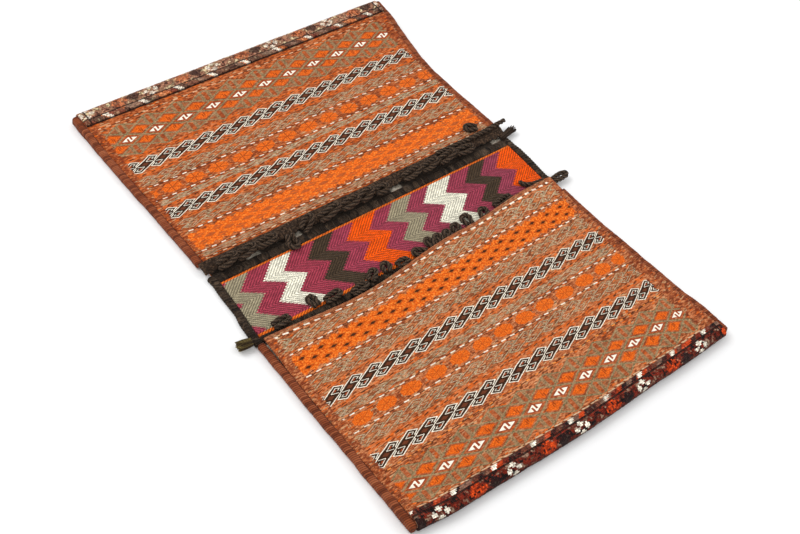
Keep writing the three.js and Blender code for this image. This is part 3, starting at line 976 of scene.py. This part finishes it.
def pile_wool(pocket):
    """Knotted pile in the bag's own design: guard rows of blocks, and a main row of flowers; painted shade
    between the knots and over the underside of the fold.
    """
    web = Web(f"{pocket.name}_pile")
    x, t, _ = web.coordinates("pile")
    kx, kt = x.stepped(KNOT), t.stepped(KNOT)
    tuft = web.scatter(x.cell(KNOT), t.cell(KNOT), 2.0)
    patch = web.noise(x.scaled(0.075), t.scaled(0.10), 2.0, 5.0) + tuft.scaled(0.16, -0.08)
    if pocket is NEAR:
        ground = web.ramp(
            patch,
            [(0.34, rgb(26, 16, 14)), (0.42, rgb(70, 30, 20)), (0.5, rgb(128, 34, 16)),
             (0.58, rgb(96, 46, 30)), (0.68, rgb(146, 116, 96))],
        )
        guard_at, row_to, main_to = 10.5, 9.0, 36.0
        flower_at, pitch, flower_shift = 23.0, 135.0, -11.0
        mark_pitch, mark_shift, bloom = 75.4, -16.3, 1.0
        white, block, black = WHITE, rgb(214, 74, 22), rgb(34, 24, 24)
    else:
        ground = web.ramp(
            patch,
            [(0.34, rgb(92, 56, 42)), (0.42, rgb(150, 96, 76)), (0.5, rgb(186, 136, 104)),
             (0.58, rgb(124, 84, 64)), (0.68, rgb(214, 192, 150))],
        )
        guard_at, row_to, main_to = 11.5, 10.5, 42.0
        flower_at, pitch, flower_shift = 23.0, 126.0, -56.0
        mark_pitch, mark_shift, bloom = 69.6, 7.8, 0.8
        white, block, black = rgb(240, 226, 206), rgb(206, 108, 50), rgb(72, 46, 38)
    # the narrow row of blocks next to the weave
    slant = kx + kt * 0.8
    pick = web.scatter(slant.cell(11.6), 0.0, 9.0)
    blocks = web.ramp(
        pick,
        [(0.0, black), (0.26, rgb(112, 66, 48)), (0.48, block), (0.6, rgb(122, 40, 22)),
         (0.8, rgb(140, 110, 92))],
        steps=True,
    )
    mark = abs((slant - mark_shift).centred(mark_pitch)).below(4.8, 0.5)
    blocks = web.mix(blocks, white, mark)
    web.colour = web.mix(ground, blocks, kt.below(row_to, 0.5) * web.math("ADD", mark, 0.7, clamp=True))
    # the main row: flowers, with blocks of orange and black between them
    fx = (kx - flower_shift).centred(pitch)
    fy = kt - flower_at
    blot = abs((kx - flower_shift - pitch / 2).centred(pitch)) / 15.0
    orange = (blot + abs(fy) / 14.0).below(1.15, 0.1) * (1.0 if pocket is NEAR else 0.6)
    flame = web.mix(web.mix(block, rgb(120, 26, 10), 0.8), block, tuft)
    web.paint(flame, orange * tuft.above(0.12, 0.1))
    shade = abs((kx - flower_shift - pitch * 0.73).centred(pitch)) / 12.0
    web.paint(black, (shade + abs(fy - 2) / 11.0).below(1.1, 0.1) * 0.9)
    afx, afy = abs(fx), abs(fy)
    petals = ((abs(afx - 9.5) / 5.4 + afy / 4.6).least(afx / 6.0 + abs(afy - 7.0) / 4.2)).below(1.1, 0.1)
    web.paint(white, petals * bloom)
    foot = (afx / 7.0 + abs(fy - 13.0) / 3.2).below(1.0, 0.1)
    web.paint(web.mix(white, block, 0.25), foot * 0.8)
    line = abs(t - guard_at).below(1.3, 0.6).most(t.below(1.6, 0.6) * (1.0 if pocket is FAR else 0.4))
    line = line.most(abs(t - main_to).below(1.6, 0.6)).most(abs(abs(x) - 309.0).below(1.5, 0.6))
    web.paint(rgb(34, 20, 14), line * 0.9)
    # painted shade: the near pile darkens towards the underside of its fold
    if pocket is NEAR:
        web.paint(rgb(36, 20, 14), t.above(31.0, 8.0) * tuft.above(0.3, 0.3) * 0.8)
    # painted shade over the underside of the fold and the back
    under = t.above(main_to + 1.5, 1.0)
    web.paint(web.mix(rgb(40, 20, 14), rgb(84, 36, 24), tuft), under * 0.9)
    nap = web.noise(x.scaled(0.7), t.scaled(0.7), 2.0, 1.0)
    # painted shade in the gaps between knots, times the random tone of tuft and nap
    knot_gap_shade = (x.fold(KNOT) + t.fold(KNOT)).scaled(0.35, 0.55).least(1.0)
    web.shade((tuft * 1.0 + nap * 1.3 - 0.08) * knot_gap_shade)
    height = x.fold(KNOT) * 0.5 + t.fold(KNOT) * 0.7 + nap * 1.6 + tuft
    return web.finish(height, 0.9, roughness=0.95)


PILE_STEP = 1.6


def make_pile(pocket):
    """A thick strip of knots from the face, round the fold and onto the back."""
    fold_length = math.pi * (FOLD_R + CLOTH / 2 + PILE)
    start = FOLD_AT - pocket.pile_face
    stations = [("face", start + PILE_STEP * i) for i in range(int(pocket.pile_face / PILE_STEP))]
    fold_rows = round(fold_length / PILE_STEP)
    stations += [("fold", math.pi * i / fold_rows) for i in range(fold_rows + 1)]
    stations += [("back", FOLD_AT - PILE_STEP * (i + 1)) for i in range(int(PILE_BACK / PILE_STEP))]
    columns = round(2 * HALF_W / PILE_STEP)
    top, bottom, flat = [], [], []
    run = 0.0
    low = CLOTH / 2 + GAP
    last = len(stations) - 1
    for i, (part, at) in enumerate(stations):
        x = across(pocket, part, at, columns, INSET)
        middle = path_point(pocket, part, at, x, low + PILE, ripple=False)
        if top:
            run += float(np.linalg.norm(middle[columns // 2] - previous))
        previous = middle[columns // 2]
        knots = np.abs(np.sin(math.pi * x / KNOT)) * abs(math.sin(math.pi * run / KNOT))
        tufts = 0.45 * knots + 0.5 * smooth_noise(x / 2.2, run / 2.2)
        lumps = 0.5 * smooth_noise(x / 30 + 7, run / 14 + 31 * pocket.end)
        rim = 1 - 0.75 * (1 - min(1.0, min(i, last - i) / 2.0))
        under = part == "back" or (part == "fold" and at > 2.6)
        rough = np.minimum(tufts + lumps, 0.0) - 0.25 if under else tufts + lumps
        top.append(path_point(pocket, part, at, x, low + PILE * rim + rough, ripple=False))
        bottom.append(path_point(pocket, part, at, x, low, ripple=False))
        flat.append(run)
    points, faces, _, _ = shell(np.array(top), np.array(bottom), flip=pocket.end > 0)
    along = np.repeat(flat, columns)
    side = np.array(top).reshape(-1, 3)[:, 0]
    places = np.stack([side, along, np.zeros_like(side)], -1)
    made = make_mesh(
        f"{pocket.name}_pile", points, faces, [pile_wool(pocket)], f"{pocket.name}_pile_strip",
        "pile", np.concatenate([places, places]),
    )


# --- overcast seams and bindings


def overcast_wool(name, dark, middle, light, stitch, depth, uneven=0.0):
    """Yarn sewn over and over an edge: one colour chance to a stitch, with fine fibres along it, and
    painted shade in the grooves between stitches.
    """
    web = Web(name)
    around, along, _ = web.coordinates("wrap")
    lean = along + around * 0.16
    if uneven:
        lean = lean + web.noise(along.scaled(0.16), around.scaled(0.12), 1.0, 12.0).scaled(uneven)
    number = lean.cell(stitch)
    tone = web.scatter(number, 0.0, 3.0)
    fibres = web.noise(around.scaled(0.35), lean.scaled(2.4), 2.0)
    patches = web.noise(along.scaled(0.05), 0.0, 1.0, 8.0)
    value = tone * 0.5 + fibres * 0.6 + patches * 0.5
    web.colour = web.ramp(value.scaled(1.0, -0.35), [(0.1, dark), (0.45, middle), (0.85, light)])
    groove = lean.scaled(1 / stitch).fold(1.0)
    # painted shade in the grooves between stitches
    web.shade(groove.scaled(1.5, 0.42).least(1.0))
    height = groove.scaled(3.0).least(1.0) + fibres * 0.5
    return web.finish(height, depth, roughness=0.92)


RING = 20
BAR_STEP = 0.95
SQUARENESS = 0.62
SEAM_STITCH = 3.4
BINDING_STITCH = 5.2


def overcast_bar(name, length, centre, width, height, stitch, relief, wool, seed):
    """A bar of round-cornered section, with its stitches standing up in relief.

    centre(t) and height(t) take arrays of distances along it, in millimetres."""
    count = max(8, round(length / BAR_STEP))
    t = np.linspace(0, length, count)
    angle = ring_angles(RING)
    wide_part, high_part = [np.sign(p) * np.abs(p) ** SQUARENESS for p in (np.cos(angle), np.sin(angle))]
    middle = centre(t)
    aside = level_aside(unit(np.gradient(middle, axis=0)))
    high = height(t)
    around = np.arange(RING) / RING * 2 * (width + high.mean())
    lean = t[:, None] + around[None, :] * 0.16
    bump = 1 - relief * (1 - np.sqrt(np.abs(np.sin(math.pi * lean / stitch))))
    loose = 1 + 0.05 * smooth_noise(lean / stitch / 1.5 + seed, seed + 0.5)
    scale = bump * loose
    ends = np.sqrt(np.clip(np.minimum(t, length - t) / 2.5, 0.12, 1))
    out = wide_part * (width / 2 * ends)[:, None] * scale
    rise = high_part * (high / 2 * ends)[:, None] * scale
    points = rings(middle, aside, np.tile([0, 0, 1.0], (count, 1)), out, rise)
    points[:, 2] = np.maximum(points[:, 2], FLOOR_GAP)
    ring = list(range(RING))
    caps = [ring, [(count - 1) * RING + v for v in ring[::-1]]]
    faces = grid_quads(count, RING, wrap=True)[:, ::-1].tolist() + caps
    wraps = np.stack([np.tile(around, count), np.repeat(t, RING), np.zeros(count * RING)], -1)
    make_mesh(name, points, faces, [wool], name, "wrap", wraps)


def side_bar(name, side, y0, y1, width, height, stitch, relief, wool, seed, wave=0.7):
    """A seam or binding along one side of the bag from y0 to y1."""
    outline_of = left_side if side < 0 else right_side
    run = abs(y1 - y0)

    def along_y(t):
        return y0 + (y1 - y0) * t / run

    def centre(t):
        y = along_y(t)
        x = outline_of(y) - side * (width / 2 - wave * smooth_noise(y / 22 + seed, seed))
        return np.stack([x, y, height(y) / 2], -1)

    overcast_bar(name, run, centre, width, lambda t: height(along_y(t)), stitch, relief, wool, seed)


def cross_bar(name, y0, y1, high, relief, wool, seed, wave):
    """A binding across the bag between two distances along Y."""
    middle = (y0 + y1) / 2
    start = float(left_side(middle)) + BINDING - 1
    end = float(right_side(middle)) - BINDING + 1

    def centre(t):
        y = middle + wave * smooth_noise(t / 26 + seed, seed)
        return np.stack([start + t, y, np.full_like(t, high / 2)], -1)

    overcast_bar(
        name, end - start, centre, y1 - y0, lambda t: np.full_like(t, high), BINDING_STITCH, relief, wool,
        seed,
    )


def seam_height(y):
    return back_height(np.abs(y)) + 2 * FOLD_R + CLOTH / 2 + GAP


def make_edges():
    red = overcast_wool(
        "overcast_red", rgb(84, 40, 25), rgb(142, 71, 41), rgb(178, 104, 68), SEAM_STITCH, 0.8
    )
    dark = overcast_wool(
        "overcast_dark", rgb(22, 16, 12), rgb(52, 40, 30), rgb(96, 78, 62), 4.2, 1.0, 16.0
    )
    seam_end = HALF_L - 3
    for side, word in ((-1, "left"), (1, "right")):
        for name, y0, y1, seed in (
            ("near_seam", -NEAR_BACK_END - GAP, -seam_end, 3),
            ("far_seam", FAR_MOUTH + GAP, seam_end, 7),
        ):
            side_bar(f"{name}_{word}", side, y0, y1, SEAM, seam_height, SEAM_STITCH, 0.16, red,
                     seed + side)
        side_bar(f"bridge_binding_{word}", side, -NEAR_BACK_END, FAR_BACK_END + 8, BINDING,
                 lambda y: np.full_like(y, EDGE_THICK + 0.8), BINDING_STITCH, 0.3, dark,
                 12 + side, wave=2.0)
    cross_bar("bridge_binding_near", -NEAR_BACK_END + GAP, -BRIDGE_NEAR + 1, EDGE_THICK + 0.6, 0.3, dark,
              21, 1.6)
    cross_bar("bridge_binding_far", BRIDGE_FAR - 0.2, FAR_BACK_END + 6, EDGE_THICK + 0.8, 0.12, dark,
              23, 1.8)


def mouth_edge_wool():
    """The dark woven edge of the far mouth: ribs of goat hair across it."""
    web = Web("mouth_edge_goat_hair")
    x, _, s = web.coordinates("motif")
    rib = x.scaled(1 / 2.6).fold(1.0)
    row = s.scaled(1 / 2.2).fold(1.0)
    tone = web.scatter(x.cell(2.6), s.cell(2.2), 4.0)
    hair = web.noise(x.scaled(0.5), s.scaled(1.4), 2.0)
    web.colour = web.ramp(
        tone * 0.4 + hair * 0.6,
        [(0.25, rgb(26, 18, 13)), (0.5, rgb(54, 40, 30)), (0.78, rgb(98, 76, 58))],
    )
    return web.finish(rib + row + hair, 0.9, roughness=0.9)


def make_mouth_edge():
    y0, y1 = FAR_MOUTH - FAR_EDGE - 6, FAR_MOUTH - GAP
    rows, columns = 14, 400
    left = float(left_side((y0 + y1) / 2)) + 1
    right = float(right_side((y0 + y1) / 2)) - 1
    x = np.linspace(left, right, columns)
    top, bottom = [], []
    for i in range(rows):
        share = i / (rows - 1)
        ragged = 2.4 * smooth_noise(x / 19 + 5, 2.5) + 0.8 * np.sin(x / 2.1)
        y = y0 + (y1 - y0) * share + (1 - share) * ragged
        rib = 0.25 * np.abs(np.sin(math.pi * x / 2.6))
        ripple = face_ripple(FAR, x, FAR_MOUTH) * share
        droop = 4.0 * (1 - share) ** 2 - 1.0 * smooth_noise(x / 11 + 9, i / 2.5)
        z = FAR_EDGE_TOP - droop + ripple + rib
        top.append(np.stack([x, y, z], -1))
        bottom.append(np.stack([x, y, z - rib - CLOTH], -1))
    points, faces, _, _ = shell(np.array(top), np.array(bottom), flip=False)
    flat = np.concatenate([np.array(top).reshape(-1, 3)] * 2)
    places = np.stack([flat[:, 0], 0 * flat[:, 0], flat[:, 1]], -1)[faces.ravel()]
    make_mesh("far_mouth_edge_weave", points, faces, [mouth_edge_wool()], "far_mouth_edge",
              "motif", places, "CORNER")


# --- the chevron bridge

ZIGZAG = [(46, 3), (11, -38), (-10.5, -6.5), (-36, -39.5), (-68, -2), (-90, -30)]
CHEVRON_ROW = 6.1
CHEVRON_EDGES = [-296, -255, -212, -173, -127, -88, -47, -1, 34, 75, 113, 162, 206, 242, 277]
LINE_WIDTH = 3.6
LEG_SLOPE = 1.28


def zigzag(y):
    """How far the chevrons swing sideways at a distance along Y."""
    ys = [p[0] for p in ZIGZAG][::-1]
    return np.interp(y, ys, [p[1] for p in ZIGZAG][::-1])


def chevron_wool():
    """Wool wrapped over the warps in rows along each chevron's legs; across runs in phase with them."""
    web = Web("chevron_wool")
    phase, leg, place = web.coordinates("chevron")
    serrated = phase + leg.scaled(1 / 5.0).fraction().scaled(4.4, -2.2)
    shown = serrated.scaled(1 / 700, 0.5)
    grey = rgb(166, 154, 126)
    white = rgb(255, 250, 228)
    brown = rgb(74, 58, 42)
    orange = rgb(252, 92, 2)
    plums = [rgb(170, 62, 80), rgb(168, 64, 84), rgb(164, 64, 84), rgb(160, 66, 86)]
    order = [plums[0], grey, plums[0], white, plums[0], brown, plums[1], orange, plums[1], grey, plums[2],
             white, plums[2], brown, plums[3], orange]
    edges = [-350] + CHEVRON_EDGES
    web.colour = web.ramp(shown, [(edge / 700 + 0.5, tone) for edge, tone in zip(edges, order)], steps=True)
    line = place.above(BRIDGE_FAR - LINE_WIDTH, 0.5).most(place.below(5.5 - BRIDGE_NEAR, 0.5))
    web.paint(rgb(240, 112, 26), line)
    row = phase.scaled(1 / CHEVRON_ROW)
    groove = row.fold(1.0)
    number = row.floor()
    stitch = leg.scaled(1 / 2.7) + number * 0.37 + groove * 0.9
    tone = web.scatter(stitch.floor(), number, 6.0)
    fibre = web.noise(phase.scaled(0.9), leg.scaled(0.4), 2.0, 2.0)
    # painted shade in the grooves between rows and between stitches, times random tone
    shade = groove.scaled(3.0, 0.26).least(1.0) * stitch.fold(1.0).scaled(2.2, 0.42).least(1.0)
    web.shade(shade * (tone * 0.55 + fibre * 0.9 + 0.5))
    height = groove.scaled(2.4).least(1.0) * 1.6 + stitch.fold(1.0) * 1.2 + fibre * 0.5
    return web.finish(height, 0.9, roughness=0.85)


PANEL_STEP = 1.6


def make_bridge():
    """The bridge's panel, its rows of wool standing up in relief."""
    inset = BINDING + GAP
    rows = round((BRIDGE_FAR + BRIDGE_NEAR) / PANEL_STEP) + 1
    columns = round(2 * (HALF_W - inset) / PANEL_STEP)
    y = np.linspace(-BRIDGE_NEAR, BRIDGE_FAR, rows)
    share = np.linspace(0, 1, columns)
    left, right = left_side(y) + inset, right_side(y) - inset
    x = left[:, None] + (right - left)[:, None] * share[None, :]
    yy = np.repeat(y[:, None], columns, 1)
    phase = x - zigzag(yy)
    groove = np.abs(np.sin(math.pi * phase / CHEVRON_ROW)) ** 0.5
    slow = 0.5 * smooth_noise(x / 60 + 3, yy / 40 + 3)
    rise = 1.2 * (groove - 1) + slow
    line = yy > BRIDGE_FAR - LINE_WIDTH
    rise = np.where(line, 0.4 * np.abs(np.sin(math.pi * x / 3.0)) + slow, rise)
    top = np.stack([x, yy, BRIDGE_THICK + rise], -1)
    bottom = np.stack([x, yy, np.zeros_like(x)], -1)
    points, faces, _, _ = shell(top, bottom, flip=False)
    places = np.stack([phase, yy * LEG_SLOPE, yy], -1).reshape(-1, 3)
    made = make_mesh("bridge_chevrons", points, faces, [chevron_wool()], "bridge_panel",
                     "chevron", np.concatenate([places, places]))


# --- braided cords

CORD = 7.6
LEG_GAP = CORD + 0.6
EYE_TURN = 130 * math.pi / 180
EYE_ENDS = 1.6
CHAIN_RISE = 8.6
EDGE_AT = FAR_MOUTH - FAR_EDGE
CORD_RING = 15
CORD_STEP = 1.05
LAY = 30.0


def rest_height(y):
    """Where a loose cord's middle comes to rest."""
    down = smoothstep(y, EDGE_AT - 2.6 * CORD, EDGE_AT - CORD / 2)
    return EDGE_THICK + (FAR_EDGE_TOP - EDGE_THICK) * down + CORD / 2 + 2 * GAP


def loop_points(x, y, heading, reach, wide, long, rise=0.0):
    """The route of a closure loop: two legs sewn down side by side, and the eye that they end in."""
    flat = [(-reach, -LEG_GAP / 2)]
    for i in range(9):
        angle = EYE_TURN * (i / 4 - 1)
        end = min(1.0, max(-1.0, EYE_ENDS * math.cos(angle)))
        flat.append(((long - wide) / 2 * end + wide / 2 * math.cos(angle), wide / 2 * math.sin(angle)))
    flat.append((-reach, LEG_GAP / 2))
    turn = math.radians(heading)
    total = reach + long / 2
    route = []
    for forward, aside in flat:
        px = x + forward * math.cos(turn) - aside * math.sin(turn)
        py = y + forward * math.sin(turn) + aside * math.cos(turn)
        route.append((px, py, float(rest_height(py)) + rise * ((forward + reach) / total) ** 2))
    return route


FAR_LOOPS = [
    (-283, 66, 2, 17, 11, 34, CHAIN_RISE),
    (-247, 66, 1, 17, 11, 32, CHAIN_RISE),
    (-208, 68, -8, 18, 10, 34, CHAIN_RISE),
    (-166, 47, -95, 17, 16, 17),
    (-126, 67, 30, 16, 13, 22, CHAIN_RISE),
    (-84, 66, 4, 20, 11, 40, CHAIN_RISE),
    (-41, 66, -2, 17, 11, 32, CHAIN_RISE),
    (-5, 67, 6, 14, 12, 24, CHAIN_RISE),
    (27, 66, 0, 13, 11, 26),
    (92, 67, 0, 18, 11, 34, CHAIN_RISE),
    (131, 67, 0, 17, 11, 32, CHAIN_RISE),
    (170, 67, 1, 17, 11, 32, CHAIN_RISE),
    (211, 67, -4, 18, 11, 36),
    (256, 104, 150, 14, 13, 18),
]
NEAR_LOOPS = [
    (-274, -73, 5, 16, 11, 30),
    (-209, -63, 98, 15, 12, 15),
    (-175, -74, 8, 18, 11, 28),
    (-130, -84, 10, 18, 10, 30),
    (-96, -72, 40, 14, 11, 22),
    (-67, -70, 70, 12, 13, 16),
    (-38, -77, 5, 13, 11, 22),
    (0, -74, 150, 15, 12, 22),
    (27, -65, 105, 14, 11, 14),
    (46, -66, 100, 14, 10.5, 14),
    (65, -67, 85, 14, 9.5, 14),
    (86, -63, 80, 14, 13, 14),
    (114, -57, 85, 15, 15.5, 15.5),
    (150, -61, 60, 14, 14, 17),
    (196, -58, 8, 22, 11, 34),
]
CORNER_LOOP = (324, -66, 3, 24, 10, 30)


def on_edge(x, y, lift=0.0):
    return (x, y, float(rest_height(y)) + lift)


FAR_TIE = [
    on_edge(160, 83),
    on_edge(200, 83.5),
    on_edge(240, 82.5),
    on_edge(280, 84),
    on_edge(308, 86),
    on_edge(326, 88, -1.5),
]
NEAR_TIE = [on_edge(252, -37), on_edge(254, -46), on_edge(263, -53), on_edge(278, -56), on_edge(296, -57)]


def smooth_route(points, step):
    """Evenly spaced points of a smooth curve through the listed ones."""
    points = np.array(points, float)
    before = np.concatenate([[2 * points[0] - points[1]], points, [2 * points[-1] - points[-2]]])
    dense = []
    for i in range(len(points) - 1):
        p0, p1, p2, p3 = before[i: i + 4]
        t = np.linspace(0, 1, 24, endpoint=False)[:, None]
        dense.append(
            0.5 * (2 * p1 + (p2 - p0) * t + (2 * p0 - 5 * p1 + 4 * p2 - p3) * t**2
                   + (3 * p1 - p0 - 3 * p2 + p3) * t**3)
        )
    dense = np.concatenate(dense + [points[-1:]])
    run = np.concatenate([[0], np.cumsum(np.linalg.norm(np.diff(dense, axis=0), axis=1))])
    count = max(8, round(run[-1] / step))
    even = np.linspace(0, run[-1], count + 1)
    return np.stack([np.interp(even, run, dense[:, i]) for i in range(3)], -1), run[-1]


def braided_tube(route, diameter, seed):
    """Three thick strands twisted together along a route with a long, uneven lay."""
    middle, length = smooth_route(route, CORD_STEP)
    count = len(middle)
    heading = unit(np.gradient(middle, axis=0))
    aside = unit(level_aside(heading))
    up = np.cross(heading, aside)
    angle = ring_angles(CORD_RING)
    t = np.arange(count) * CORD_STEP
    turn = 2 * math.pi * (t + 2.5 * np.sin(t / 7 + seed))[:, None] / LAY
    plait = np.abs(np.cos(1.5 * (angle[None, :] - turn))) ** 0.8
    fuzz = 0.05 * smooth_noise(t[:, None] / 1.6 + seed * 3.7, angle[None, :] * 2.2 + seed)
    thick = 1 + 0.07 * smooth_noise(t[:, None] / 11 + seed * 1.3, 0 * angle[None, :] + seed)
    ends = np.sqrt(np.clip(np.minimum(t, t[-1] - t) / 2.2, 0.1, 1))[:, None]
    radius = diameter / 2 * (0.66 + 0.5 * plait + fuzz) * thick * ends
    points = rings(middle, aside, up, radius * np.cos(angle), radius * np.sin(angle))
    ring = list(range(CORD_RING))
    caps = [ring[::-1], [(count - 1) * CORD_RING + v for v in ring]]
    faces = grid_quads(count, CORD_RING, wrap=True).tolist() + caps
    places = np.stack([np.tile(angle * diameter / 2, count), np.repeat(t, CORD_RING), plait.ravel()], -1)
    return points, faces, places, middle, length


def stray_hairs(middle, diameter, seed, start):
    """Fine hairs that have worked loose from a cord: (points, faces, places) to add to its mesh."""
    own = np.random.default_rng(seed)
    points, faces, places = [], [], []
    count = len(middle)
    for index in range(count // 2):
        root = middle[own.integers(2, count - 2)]
        angle = own.uniform(0.1, math.pi - 0.1)
        turn = own.uniform(0, 2 * math.pi)
        level = math.cos(angle)
        out = np.array([level * math.cos(turn), level * math.sin(turn), math.sin(angle)])
        along = own.uniform(-0.8, 0.8, 3)
        a = root + out * diameter * 0.42
        b = root + out * (diameter * 0.5 + own.uniform(0.4, 1.2)) + along
        side = np.cross(b - a, [0.3, 0.2, 1.0])
        side *= 0.2 / max(np.linalg.norm(side), 1e-6)
        first = start + len(points)
        points += [a - side, a + side, b + side * 0.4, b - side * 0.4]
        faces += [(first, first + 1, first + 2, first + 3)]
        places += [(index, 0, 0.8)] * 4
    return points, faces, places


def goat_hair(name, dark, middle, light):
    """Dark braided hair: fine lengthwise fibres in random tones, with a painted highlight on each strand's
    crown and painted shade in the grooves between strands.
    """
    web = Web(name)
    around, along, plait = web.coordinates("braid")
    fibre = web.noise((along + around * 0.7).scaled(1.3), around.scaled(0.5), 2.0)
    fine = web.noise((along - around * 0.9).scaled(2.6), around.scaled(1.4), 1.0, 4.0)
    value = fibre * 0.75 + fine * 0.35
    web.colour = web.ramp(value, [(0.38, dark), (0.54, middle), (0.7, light)])
    # painted shade in the grooves between strands and painted highlight on their crowns
    web.shade(plait.scaled(1.5, -0.22).most(0.12))
    return web.finish(plait * 1.2 + fibre + fine * 0.7, 1.4, roughness=0.85)


def make_cord(name, route, material, seed):
    points, faces, places, middle, length = braided_tube(route, CORD, seed)
    hairs = stray_hairs(middle, CORD, seed, len(points))
    points = np.concatenate([points, hairs[0]])
    faces = faces + hairs[1]
    places = np.concatenate([places, hairs[2]])
    points[:, 2] = np.maximum(points[:, 2], FLOOR_GAP)
    made = make_mesh(f"{name}_braid", points, faces, [material], name, "braid", places)
    path = (middle * MM).tolist()
    round(length * MM, 4)


def make_cords():
    hair = goat_hair("goat_hair_cord", rgb(24, 16, 11), rgb(64, 49, 38), rgb(124, 102, 82))
    for number, loop in enumerate(FAR_LOOPS, 1):
        make_cord(f"far_loop_{number}", loop_points(*loop), hair, number)
    for number, loop in enumerate(NEAR_LOOPS, 1):
        make_cord(f"near_loop_{number}", loop_points(*loop), hair, 20 + number)
    make_cord("corner_loop", loop_points(*CORNER_LOOP), hair, 41)
    make_cord("far_tie_cord", FAR_TIE, hair, 42)
    make_cord("near_tie_cord", NEAR_TIE, hair, 43)


# --- cut ends

STRAND_SIDES = 5


def strands(routes, radius):
    """Thin round yarns along routes, all in one mesh."""
    points, faces, places = [], [], []
    start = 0
    for index, route in enumerate(routes):
        middle = np.array(route, float)
        count = len(middle)
        heading = unit(np.gradient(middle, axis=0))
        aside = unit(np.cross(heading, [0, 0, 1.0]))
        up = np.cross(aside, heading)
        angle = ring_angles(STRAND_SIDES)
        thin = radius * np.linspace(1, 0.75, count)[:, None]
        points.append(rings(middle, aside, up, thin * np.cos(angle), thin * np.sin(angle)))
        faces += grid_quads(count, STRAND_SIDES, start, wrap=True)[:, ::-1].tolist()
        last = start + (count - 1) * STRAND_SIDES
        faces.append(tuple(range(start, start + STRAND_SIDES)))
        faces.append(tuple(range(last + STRAND_SIDES - 1, last - 1, -1)))
        t = np.arange(count) * 2.0
        around = np.tile(angle * radius, count)
        places.append(np.stack([around, np.repeat(t, STRAND_SIDES), np.full_like(around, index)], -1))
        start += count * STRAND_SIDES
    return np.concatenate(points), faces, np.concatenate(places)


def cut_wool(name, tones):
    """Yarn ends, each strand a colour of its own."""
    web = Web(name)
    around, along, strand = web.coordinates("braid")
    pick = web.scatter(strand, 0.0, 2.0)
    fibre = web.noise(along.scaled(0.8), around.scaled(3.0) + strand, 2.0)
    stops = [(0.15 + 0.7 * i / (len(tones) - 1), tone) for i, tone in enumerate(tones)]
    web.colour = web.ramp(pick * 0.8 + fibre * 0.35 - 0.05, stops)
    return web.finish(fibre, 0.4, roughness=0.9)


def make_brush(node, name, root, tip, root_r, tip_r, height, count, tones, yarn=0.75):
    """A brush of cut yarn that widens from its root, its strands bent a little each way."""
    root, tip = np.array([*root, height], float), np.array([*tip, height], float)
    along = tip - root
    length = np.linalg.norm(along)
    along /= length
    aside = np.array([-along[1], along[0], 0])
    up = np.array([0, 0, 1.0])
    routes = []
    for _ in range(count):
        angle, spread = rng.uniform(0, 2 * math.pi), math.sqrt(rng.uniform(0, 1))
        reach = length * rng.uniform(0.8, 1.04)
        bend = rng.uniform(-1.2, 1.2)
        offset = np.cos(angle) * aside + np.sin(angle) * up * 0.85
        route = []
        for t in np.linspace(0, 1, 7):
            radius = spread * (root_r + (tip_r - root_r) * t) * 0.93
            point = root + along * reach * t + offset * radius + aside * bend * math.sin(math.pi * t)
            point[2] = max(point[2], yarn + 0.1)
            route.append(point)
        routes.append(route)
    points, faces, places = strands(routes, yarn)
    make_mesh(name, points, faces, [cut_wool(f"{name}_wool", tones)], node, "braid", places)


def make_brushes():
    hair = [rgb(22, 16, 12), rgb(46, 36, 28), rgb(78, 62, 50)]
    olive = [rgb(30, 22, 16), rgb(62, 46, 30), rgb(104, 88, 48), rgb(146, 128, 78)]
    for node, root, tip, root_r, tip_r, height, count, tones, slot in (
        ("corner_tassel", (296, 61), (334, 70), 4.2, 8, 8.4, 90, hair, "loop_cord"),
        ("corner_tuft", (-333.5, -81), (-357, -78), 8, 9.5, 10, 120, olive, "cut_wool"),
    ):
        make_brush(node, f"{node}_yarn", root, tip, root_r, tip_r, height, count, tones)


# --- floor and light


def make_stage():
    mesh = bpy.data.meshes.new("floor")
    half = 6.0
    corners = [(x * half, y * half, 0) for x, y in ((-1, -1), (1, -1), (1, 1), (-1, 1))]
    mesh.from_pydata(corners, [], [(0, 1, 2, 3)])
    floor = bpy.data.objects.new("floor", mesh)
    bpy.context.scene.collection.objects.link(floor)
    floor.location.z = -0.0005
    material = bpy.data.materials.new("pale_floor")
    material.use_nodes = True
    paint = material.node_tree.nodes["Principled BSDF"]
    paint.inputs["Base Color"].default_value = (0.9, 0.9, 0.9, 1)
    paint.inputs["Roughness"].default_value = 0.8
    paint.inputs["Specular IOR Level"].default_value = 0.2
    mesh.materials.append(material)

    world = bpy.data.worlds.new("soft_studio")
    world.use_nodes = True
    sky = world.node_tree.nodes["Background"]
    sky.inputs["Color"].default_value = (1, 1, 1, 1)
    sky.inputs["Strength"].default_value = 0.86
    bpy.context.scene.world = world

    def area(name, place, aim, size, power):
        data = bpy.data.lights.new(name, "AREA")
        data.shape = "DISK"
        data.size = size
        data.energy = power
        lamp = bpy.data.objects.new(name, data)
        bpy.context.scene.collection.objects.link(lamp)
        lamp.location = place
        lamp.rotation_euler = (Vector(aim) - Vector(place)).to_track_quat("-Z", "Y").to_euler()

    area("key", (-1.4, 1.8, 3.2), (0, 0, 0), 2.4, 62)
    area("fill", (2.2, -1.6, 2.6), (0, 0, 0), 2.4, 16)
    bpy.context.scene.view_settings.view_transform = "Standard"


make_cords()
make_brushes()
undyed = inner_weave()
make_pocket(NEAR, near_bands(), undyed)
make_pocket(FAR, far_bands(), undyed)
make_pile(NEAR)
make_pile(FAR)
make_edges()
make_mouth_edge()
make_bridge()
make_stage()
